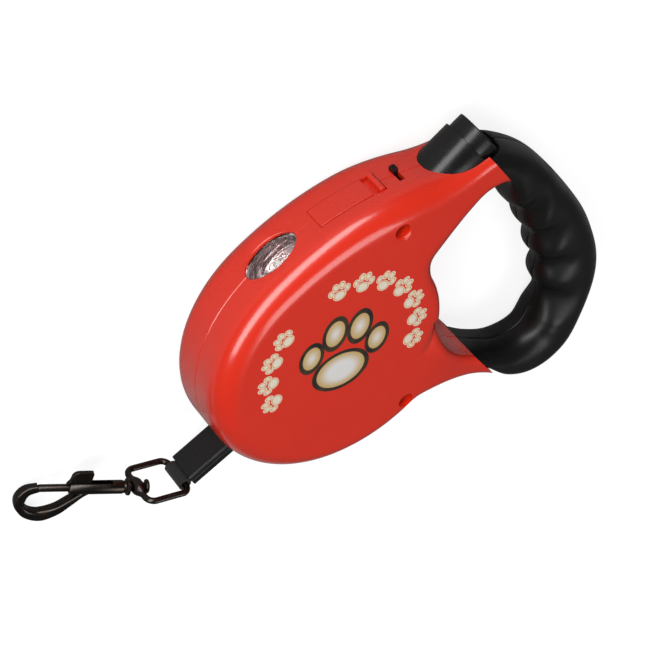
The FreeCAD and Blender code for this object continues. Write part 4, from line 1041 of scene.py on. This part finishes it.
def build_grip():
    """Both rubber halves of the grip, each a row of half-oval sections from the inner to the outer line."""
    power = 2 / bpy.context.scene.leash_grip.squareness
    stations, around = GRIP_STATIONS, GRIP_AROUND
    outer = spline_points(GRIP_OUTER, stations)
    inner = spline_points(GRIP_INNER, stations)
    for name, side, half in (("front_rubber", 1, 12.0), ("rear_rubber", -1, 10.8)):
        verts = []
        for out, into in zip(outer, inner):
            scoop, into = into.z, into.xy
            middle, reach = (out + into) / 2, (out - into) / 2
            groove = GRIP_GROOVE / reach.length
            verts.append((*(middle + reach * (1 - groove)), SEAM + side * SEAM_GAP))
            for number in range(around + 1):
                angle = math.pi * number / around
                c, s = math.cos(angle), math.sin(angle)
                across = math.copysign(abs(c) ** power, c)
                height = GRIP_GROOVE + (half - GRIP_GROOVE) * s ** power
                height *= 1 - SCOOP_SHARE * max(0.0, scoop) * smooth_step(-across, -0.3, 0.85)
                verts.append((*(middle + reach * across), SEAM + side * height))
            verts.append((*(middle - reach * (1 - groove)), SEAM + side * SEAM_GAP))
        size = around + 3
        faces = ring_faces(stations, size)
        faces += [tuple(reversed(range(size))), tuple(range((stations - 1) * size, stations * size))]
        verts = [clear_of_button(Vector(v)) for v in verts]
        make_piece(name, verts, faces, finish_of("rubber", grip_rubber), "housing", "grip_rubber", sharp=50,
                   replaces=["front_grip" if side > 0 else "rear_grip"])


# ---- brake button ----

def build_button():
    """The sleeve and the thumb button."""
    black = finish_of("black plastic", black_plastic)
    start, end = SLEEVE_LOW.x, SLEEVE_HIGH.x
    bore = SLEEVE_RADIUS - 0.85
    rim = 0.22
    profile = [(start, bore), (end - rim, bore), (end, bore + rim * 0.6), (end, SLEEVE_RADIUS - rim),
               (end - rim * 0.3, SLEEVE_RADIUS - rim * 0.3), (end - rim, SLEEVE_RADIUS),
               (start, SLEEVE_RADIUS)]
    make_piece("sleeve", *lathe(profile, 128), black, "housing", "black_plastic", button_frame(), 30,
               ["button_sleeve"])
    tip, skirt = BUTTON_HIGH.x, BUTTON_LOW.x
    hollow = CAP_RADIUS - 1.35
    profile = [(tip - 2.4, 0.0), (tip - 2.4, hollow), (skirt, hollow), (skirt, CAP_RADIUS),
               (tip - 0.55, CAP_RADIUS), (tip - 0.3, CAP_RADIUS - 0.07),
               (tip - 0.08, CAP_RADIUS - 0.25), (tip, CAP_RADIUS - 0.5), (tip, CAP_RADIUS - 1.3),
               (tip - 0.1, CAP_RADIUS - 1.5), (tip - 0.55, CAP_RADIUS - 1.8),
               (tip - 0.5, CAP_RADIUS * 0.5), (tip - 0.35, CAP_RADIUS * 0.2), (tip - 0.33, 0.0)]
    make_piece("thumb_button", *lathe(profile, 128), black, "button", "black_plastic", button_frame(), 30,
               ["brake_button"])


# ---- torch, door and switch ----

def oval_lathe(profile, wide, high, count=96):
    """A profile of (share of the oval, height) turned about the rim's outward direction."""
    verts = []
    for share, height in profile:
        for x, z in oval_outline(wide * max(share, 1e-4), high * max(share, 1e-4), count):
            verts.append((x, z, height))
    return verts, ring_faces(len(profile), count, closed_stack=True)


def build_torch():
    """The clear oval window and the plated bowl behind it."""
    top = CROWN_RADIUS - 0.35
    profile = [(0.0, top + 0.12), (0.3, top + 0.1), (0.6, top), (0.82, top - 0.16), (0.93, top - 0.36),
               (0.98, top - 0.6), (1.0, top - 0.9), (1.0, top - 1.9), (0.9, top - 1.9), (0.5, top - 1.6),
               (0.0, top - 1.5)]
    upright = rim_frame(LENS_ANGLE) @ Matrix.Rotation(math.radians(-90), 4, "X")
    make_piece("window", *oval_lathe(profile, 11.0, 5.75), finish_of("window", clear_window), "housing",
               "clear_window", upright, 60, ["torch_lens"])
    rim = CROWN_RADIUS - 2.5
    bowl = [(0.95, rim)] + [(0.93 * math.cos(a), rim - 7.0 * math.sin(a))
                            for a in (math.radians(d) for d in range(2, 76, 6))] + [(0.2, rim - 7.0)]
    outside = [(0.2, rim - 8.0), (0.55, rim - 7.4), (0.9, rim - 5.0), (1.0, rim - 1.5), (1.0, rim)]
    make_piece("reflector", *oval_lathe(bowl + outside, 10.7, 5.5), finish_of("reflector", bright_reflector),
               "housing", "bright_reflector", upright, 40, ["torch_reflector"])


def rim_height(x, lift):
    """Height of the rim, or of a line above it, at a place along the rim."""
    return math.sqrt((CROWN_RADIUS + lift) ** 2 - x * x)


def build_door():
    """The curved battery door with its finger tab."""
    half, right = 4.55, 15.4
    tab, pocket = right - 2.2, right - 4.9
    pivot = Vector(rim_frame(DOOR_ANGLE).inverted() @ (DOOR_PIVOT * MM)) / MM
    roll = 0.85
    outline = [(pivot.x + roll * math.cos(a), pivot.y + roll * math.sin(a))
               for a in (math.radians(90 + 22.5 * number) for number in range(9))]
    along = [pivot.x + (pocket - 0.4 - pivot.x) * n / 12 for n in range(1, 13)]
    outline += [(x, rim_height(x, -1.5)) for x in along]
    outline += [(pocket - 0.2, rim_height(pocket, -2.5)), (right, rim_height(right, -2.5)),
                (right, CROWN_RADIUS - 0.4), (right - 0.2, CROWN_RADIUS + 0.1),
                (right - 0.7, CROWN_RADIUS + 0.4), (right - 1.4, CROWN_RADIUS + 0.4),
                (tab + 0.2, CROWN_RADIUS + 0.1), (tab, CROWN_RADIUS - 0.5),
                (tab, rim_height(tab, -1.6)), (pocket + 0.3, rim_height(pocket, -1.6)),
                (pocket, rim_height(pocket, 0.2))]
    outline += [(x, rim_height(x, 0.2)) for x in reversed(along)]
    make_piece("door", *prism(outline, -half, half), finish_of("red", housing_red), "door", "red_shell",
               rim_frame(DOOR_ANGLE), 30, ["battery_door"], bevel=0.2)


def build_switch():
    """The slide knob: a ribbed cap on a stem."""
    start = box_mm("torch_switch")[0].z - SEAM
    base, top = CROWN_RADIUS - 3.6, CROWN_RADIUS + 1.6
    outline = [(start, base), (start + 3.0, base), (start + 3.0, top - 0.3)]
    for number in range(4):
        peak = start + 3.0 - number * 0.75
        outline += [(peak - 0.15, top), (peak - 0.45, top), (peak - 0.6, top - 0.3)]
    outline.append((start, top - 0.3))
    across = prism([(y, x) for x, y in outline], -1.0, 1.0)
    verts = [(v[2], v[0], v[1]) for v in across[0]]
    make_piece("switch_knob", verts, across[1], finish_of("black plastic", black_plastic), "switch",
               "black_plastic", rim_frame(SWITCH_ANGLE), 30, ["torch_switch"], bevel=0.12)


# ---- tape outlet, ring and snap ----

def build_nozzle():
    """The flat black nozzle, made of two shells with a parting line on its narrow sides."""
    thick, wide = 2.7, 6.5
    start, end = -23.8, -2.65
    corner, groove = 0.55, 0.22
    section = [(-thick, -wide + corner), (-thick + corner, -wide), (0.25, -wide), (0.45, -wide + groove),
               (0.65, -wide), (thick - corner, -wide), (thick, -wide + corner)]
    section += [(-y, -z) for y, z in section]
    verts = [(x, y, z) for x in (start, end - 0.3, end) for y, z in
             [(p[0] * (0.95 if x == end else 1), p[1] * (0.98 if x == end else 1)) for p in section]]
    size = len(section)
    faces = ring_faces(3, size) + [tuple(reversed(range(size))), tuple(range(2 * size, 3 * size))]
    slot = block((start - 1, -1.3, -5.65), (end + 1, 1.3, 5.65))
    mesh = carved("nozzle", solid_mesh("nozzle_block", (verts, faces)), [slot])
    lip = block((start - 1.1, -thick - 1.6, -wide - 1.6), (start, thick + 1.6, wide + 1.6))
    flange = carved("lip", solid_mesh("nozzle_lip_block", lip), [slot])
    joined = bmesh.new()
    joined.from_mesh(mesh)
    joined.from_mesh(flange)
    joined.to_mesh(mesh)
    joined.free()
    finish_piece("nozzle", mesh, finish_of("black plastic", black_plastic), "housing",
                 tape_frame(), 30, ["tape_nozzle"], bevel=0.15)


def build_ring():
    """The rounded rectangle of wire whose far bar swells into the swivel's eye."""
    low, high = box_mm("swivel_ring")
    wire, corner = 1.2, 3.2
    half, reach = (high.z - low.z) / 2 - wire - 0.05, (SWIVEL - EYE).length
    line = []
    for start, end in (((0.0, half - corner), (corner, half)),
                       ((reach - corner, half), (reach, half - corner)),
                       ((reach, -half + corner), (reach - corner, -half)),
                       ((corner, -half), (0.0, -half + corner))):
        line += arc_points(start, end, corner, -1, 0.35)
        line.append(Vector(end))
    points = spread(line, 150, closed=True)
    centres = [Vector((p.x, 0.0, p.y)) for p in points]
    sections = []
    for point in points:
        swell = 1 - smooth_step(abs(point.y), 1.2, 5.2) if point.x > reach - 1 else 0.0
        sections.append((wire + 1.5 * swell, wire + 1.45 * swell))
    ring = tube(centres, sections, 24, closed=True, lift=Vector((0, 1, 0)))
    bore = lathe([(-8.0, 0.0), (-8.0, 1.7), (8.0, 1.7), (8.0, 0.0)], 32)
    into = ring_frame().inverted() @ snap_frame()
    mesh = carved("ring", solid_mesh("ring_bar", ring), [moved(bore, into)])
    finish_piece("ring", mesh, finish_of("metal", blackened_metal), "ring", ring_frame(), 45,
                 ["swivel_ring"])


HOOK_LINE = [(17.0, 0.6), (20.5, 2.9), (24.0, 6.2), (28.5, 10.3), (34.2, 12.6), (39.3, 11.2), (42.0, 7.4),
             (41.9, 3.9), (40.0, 1.0), (36.1, -0.35)]
HOOK_WIDTHS = [0.8, 1.9, 2.5, 2.2, 1.8, 1.9, 2.2, 2.15, 1.9, 1.5]


def build_snap():
    """The snap's body: collar, slotted barrel and flat-sided hook."""
    metal = finish_of("metal", blackened_metal)
    place = snap_frame()
    stem = 2.8
    barrel = [(-3.3, 0.0), (-3.3, 1.5), (stem, 1.5), (stem, 2.9), (stem + 0.25, 3.2), (stem + 1.1, 3.2),
              (stem + 1.35, 2.9), (stem + 1.6, 2.35), (stem + 2.2, 2.25), (stem + 2.8, 2.55), (24.6, 2.55),
              (24.9, 2.4), (25.0, 2.1), (25.0, 0.0)]
    slot = block((9.2, -4.0, -0.95), (26.0, 0.0, 0.95))
    bore = lathe([(5.0, 0.0), (5.0, 1.5), (26.0, 1.5), (26.0, 0.0)], 40)
    mesh = carved("snap_barrel", solid_mesh("barrel_block", lathe(barrel, 64)), [slot, bore])
    finish_piece("snap_barrel", mesh, metal, "snap", place, 35, ["snap_hook"], bevel=0.1)
    centres = [Vector((p.x, p.y, 0.0)) for p in spline_points(HOOK_LINE, 90)]
    widths = [p.x for p in spline_points([(w, 0.0) for w in HOOK_WIDTHS], 90)]
    heights = [2.1 - 0.45 * smooth_step(n, 74, 89) - 0.2 * (1 - smooth_step(n, 0, 18)) for n in range(90)]
    arm = tube(centres, list(zip(widths, heights)), 36, squareness=3.4)
    nose_room = lathe([(25.0, 0.0), (25.0, 1.5), (36.9, 1.5), (36.9, 0.0)], 40)
    mesh = carved("hook_arm", solid_mesh("hook_block", arm), [bore, nose_room])
    finish_piece("hook_arm", mesh, metal, "snap", place, 40)
    head = [(-4.4, 0.0), (-4.4, 1.6), (-4.2, 2.25), (-3.8, 2.6), (-3.3, 2.65), (-2.95, 2.45),
            (-2.8, 2.1), (-2.8, 0.0)]
    make_piece("swivel_stud", *lathe(head, 48), metal, "snap", "dark_metal", place, 50, ["swivel_rivet"])


def build_bolt():
    """The spring bolt with its thumb tab."""
    metal = finish_of("metal", blackened_metal)
    rod = [(17.0, 0.0), (17.0, 1.4), (35.6, 1.4), (36.2, 1.2), (36.4, 0.9), (36.4, 0.0)]
    rod_verts, rod_faces = lathe(rod, 40)
    outline = [(17.4, -0.6), (17.2, -2.6), (16.7, -6.6), (16.9, -7.3), (17.5, -7.55), (22.0, -7.5)]
    for angle in (math.radians(degrees) for degrees in range(15, 91, 15)):
        outline.append((22.0 + 2.6 * math.sin(angle), -4.9 - 2.6 * math.cos(angle)))
    outline += [(25.0, -3.4), (26.0, -2.0), (26.2, -0.6)]
    tab_verts, tab_faces = prism(outline, -0.8, 0.8)
    verts = list(rod_verts) + list(tab_verts)
    faces = list(rod_faces) + [tuple(i + len(rod_verts) for i in face) for face in tab_faces]
    make_piece("spring_bolt", verts, faces, metal, "bolt", "dark_metal", snap_frame(), 30, ["snap_bolt"],
               bevel=0.22)


# ---- fasteners and the pieces kept from the frame ----

def build_screws():
    """Two cross-head screws at the bottom of their wells."""
    verts, faces = [], []
    profile = [(6.5, 0.0), (6.5, 1.4), (22.0, 1.4), (22.0, 2.7), (23.3, 2.7), (23.8, 2.3), (24.0, 1.6),
               (24.0, 0.0)]
    screw = lathe(profile, 48)
    for x, y in SCREWS:
        size = len(verts)
        faces += [tuple(index + size for index in face) for face in screw[1]]
        verts += [Vector((v[2] + x, v[1] + y, v[0])) for v in screw[0]]
    crosses = []
    for x, y in SCREWS:
        top = SEAM + 8.0
        crosses.append(block((x - 1.7, y - 0.3, top - 0.8), (x + 1.7, y + 0.3, top + 0.5)))
        crosses.append(block((x - 0.3, y - 1.7, top - 0.8), (x + 0.3, y + 1.7, top + 0.5)))
    mesh = carved("screws", solid_mesh("screw_blanks", (verts, faces)), crosses)
    finish_piece("screws", mesh, finish_of("spring steel", spring_steel), "housing", sharp=35,
                 replaces=["housing_screws"])


KEPT = {
    "inner plastic": (inner_plastic, ["spool", "ratchet_flange", "battery_holder"]),
    "black plastic": (black_plastic, ["handle_core", "brake_pawl", "switch_body"]),
    "woven tape": (webbing, ["tape_coil", "tape_lead"]),
    "spring steel": (spring_steel, ["mainspring", "spring_cover", "spool_axle", "thrust_washers",
                                    "button_spring", "guide_pins", "bolt_spring"]),
    "cell steel": (cell_steel, ["button_cells", "battery_contacts"]),
    "circuit board": (circuit_board, ["lamp_board"]),
    "lamp resin": (led_dome, ["torch_lamp"]),
    "wire jacket": (wire_jacket, ["wires"]),
}


def dress_frame():
    """Give each piece that is kept from the frame its own finish."""
    for name, (maker, nodes) in KEPT.items():
        for node in nodes:
            thing = frame["nodes"][node]
            thing.data.materials.clear()
            thing.data.materials.append(finish_of(name, maker))


# ---- stage ----

def build_stage():
    """Floor, lights, world and camera."""
    settings = bpy.context.scene.leash_stage
    scene = bpy.context.scene
    scene.view_settings.view_transform = "Standard"
    floor_mesh = bpy.data.meshes.new("floor")
    side = 6.0
    floor_corners = [(-side, -side, 0), (side, -side, 0), (side, side, 0), (-side, side, 0)]
    floor_mesh.from_pydata(floor_corners, [], [(0, 1, 2, 3)])
    floor = bpy.data.objects.new("floor", floor_mesh)
    scene.collection.objects.link(floor)
    floor_mesh.materials.append(floor_paper())
    world = bpy.data.worlds.new("studio")
    scene.world = world
    world.use_nodes = True
    g = Graph(world.node_tree)
    back = world.node_tree.nodes["Background"]
    seen = seen_directly(g)
    g.feed(back.inputs["Strength"], g.add("ShaderNodeMapRange", {"Value": seen, "To Min": settings.fill,
                                                                 "To Max": 1.0}).outputs["Result"])
    back.inputs["Color"].default_value = (1, 1, 1, 1)
    middle = Vector((0.0, -0.01, 0.016))
    strips = [("key", (-1.06, 0.45, 0.78), (0.94, 1.19, 0.40), 0.40, settings.key),
              ("top", (-0.2, -0.3, 0.9), (0.3, -0.3, 0.9), 0.5, 2.2)]
    for name, start, end, depth, power in strips:
        start, end = Vector(start), Vector(end)
        lamp = bpy.data.lights.new(name, "AREA")
        lamp.shape = "RECTANGLE"
        lamp.size, lamp.size_y = (end - start).length, depth
        lamp.energy = power
        thing = bpy.data.objects.new(name, lamp)
        out = ((start + end) / 2 - middle).normalized()
        up = out.cross(end - start).normalized()
        facing = Matrix((up.cross(out), up, out)).transposed().to_4x4()
        thing.matrix_world = Matrix.Translation((start + end) / 2) @ facing
        scene.collection.objects.link(thing)
    camera = bpy.data.cameras.new("camera")
    camera.lens = settings.lens
    camera.sensor_width = 36.0
    camera.clip_start, camera.clip_end = 0.01, 50.0
    eye = bpy.data.objects.new("camera", camera)
    right, up, back = (0.70500, -0.45766, 0.54177), (0.70555, 0.37517, -0.60120), (0.07189, 0.80610, 0.58740)
    turn = Matrix((right, up, back)).transposed()
    eye.matrix_world = Matrix.Translation((0.056475, 0.609218, 0.458701)) @ turn.to_4x4()
    scene.collection.objects.link(eye)
    scene.camera = eye


def seen_directly(g):
    """1 for rays from the camera and through glass."""
    path = g.add("ShaderNodeLightPath").outputs
    return g.maths("MAXIMUM", path["Is Camera Ray"], path["Is Transmission Ray"])


def floor_paper():
    """White paper that glows a little to the camera and keeps its shadows."""
    material = bpy.data.materials.new("floor paper")
    material.use_nodes = True
    g = Graph(material.node_tree)
    shader = material.node_tree.nodes["Principled BSDF"]
    shader.inputs["Roughness"].default_value = 0.9
    where = g.add("ShaderNodeTexCoord").outputs["Object"]
    paper = g.mixed(g.noise(where, 30.0), (0.34, 0.34, 0.34, 1), (0.36, 0.36, 0.36, 1))
    g.feed(shader.inputs["Base Color"], paper)
    shader.inputs["Emission Color"].default_value = (1, 1, 1, 1)
    g.feed(shader.inputs["Emission Strength"], g.maths("MULTIPLY", seen_directly(g), 0.8))
    return material


# ---- operators and panel ----

class LEASH_OT_housing(bpy.types.Operator):
    """Build the two halves of the red housing"""
    bl_idname = "leash.housing"
    bl_label = "Housing"

    def execute(self, context):
        build_housing()
        return {"FINISHED"}


class LEASH_OT_grip(bpy.types.Operator):
    """Build the rubber grip"""
    bl_idname = "leash.grip"
    bl_label = "Grip"

    def execute(self, context):
        build_grip()
        return {"FINISHED"}


class LEASH_OT_button(bpy.types.Operator):
    """Build the thumb button and its sleeve"""
    bl_idname = "leash.button"
    bl_label = "Brake Button"

    def execute(self, context):
        build_button()
        return {"FINISHED"}


class LEASH_OT_torch(bpy.types.Operator):
    """Build the torch's window and reflector"""
    bl_idname = "leash.torch"
    bl_label = "Torch"

    def execute(self, context):
        build_torch()
        return {"FINISHED"}


class LEASH_OT_door(bpy.types.Operator):
    """Build the battery door"""
    bl_idname = "leash.door"
    bl_label = "Battery Door"

    def execute(self, context):
        build_door()
        return {"FINISHED"}


class LEASH_OT_switch(bpy.types.Operator):
    """Build the slide knob"""
    bl_idname = "leash.switch"
    bl_label = "Torch Switch"

    def execute(self, context):
        build_switch()
        return {"FINISHED"}


class LEASH_OT_nozzle(bpy.types.Operator):
    """Build the tape nozzle"""
    bl_idname = "leash.nozzle"
    bl_label = "Nozzle"

    def execute(self, context):
        build_nozzle()
        return {"FINISHED"}


class LEASH_OT_ring(bpy.types.Operator):
    """Build the swivel ring"""
    bl_idname = "leash.ring"
    bl_label = "Ring"

    def execute(self, context):
        build_ring()
        return {"FINISHED"}


class LEASH_OT_snap(bpy.types.Operator):
    """Build the snap hook"""
    bl_idname = "leash.snap"
    bl_label = "Snap Hook"

    def execute(self, context):
        build_snap()
        return {"FINISHED"}


class LEASH_OT_bolt(bpy.types.Operator):
    """Build the spring bolt"""
    bl_idname = "leash.bolt"
    bl_label = "Snap Bolt"

    def execute(self, context):
        build_bolt()
        return {"FINISHED"}


class LEASH_OT_screws(bpy.types.Operator):
    """Build the housing screws"""
    bl_idname = "leash.screws"
    bl_label = "Screws"

    def execute(self, context):
        build_screws()
        return {"FINISHED"}


class LEASH_OT_inside(bpy.types.Operator):
    """Finish the pieces kept from the frame"""
    bl_idname = "leash.inside"
    bl_label = "Inner Pieces"

    def execute(self, context):
        dress_frame()
        return {"FINISHED"}


class LEASH_OT_stage(bpy.types.Operator):
    """Build the floor, lights and camera"""
    bl_idname = "leash.stage"
    bl_label = "Stage"

    def execute(self, context):
        build_stage()
        return {"FINISHED"}


OPERATORS = [LEASH_OT_housing, LEASH_OT_grip, LEASH_OT_button, LEASH_OT_torch, LEASH_OT_door,
             LEASH_OT_switch, LEASH_OT_nozzle, LEASH_OT_ring, LEASH_OT_snap, LEASH_OT_bolt,
             LEASH_OT_screws, LEASH_OT_inside, LEASH_OT_stage]

SETTINGS = {"leash_housing": HousingSettings, "leash_grip": GripSettings, "leash_fittings": FittingSettings,
            "leash_stage": StageSettings}


class LEASH_PT_build(bpy.types.Panel):
    """The leash's settings and build buttons."""
    bl_label = "Retractable Leash"
    bl_idname = "LEASH_PT_build"
    bl_space_type = "VIEW_3D"
    bl_region_type = "UI"
    bl_category = "Leash"

    def draw(self, context):
        for name in SETTINGS:
            group = getattr(context.scene, name)
            box = self.layout.box()
            for prop in group.bl_rna.properties:
                if prop.identifier not in ("rna_type", "name"):
                    box.prop(group, prop.identifier)
        for operator in OPERATORS:
            self.layout.operator(operator.bl_idname)


CLASSES = list(SETTINGS.values()) + OPERATORS + [LEASH_PT_build]


def register():
    for cls in CLASSES:
        bpy.utils.register_class(cls)
    for name, cls in SETTINGS.items():
        setattr(bpy.types.Scene, name, bpy.props.PointerProperty(type=cls))


def unregister():
    for name in SETTINGS:
        delattr(bpy.types.Scene, name)
    for cls in reversed(CLASSES):
        bpy.utils.unregister_class(cls)


def corners(bounds):
    return [list(corner) for corner in bounds]


def main():
    register()
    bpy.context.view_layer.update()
    for operator in OPERATORS:
        getattr(bpy.ops.leash, operator.bl_idname.split(".")[1])()


if __name__ == "__main__":
    main()
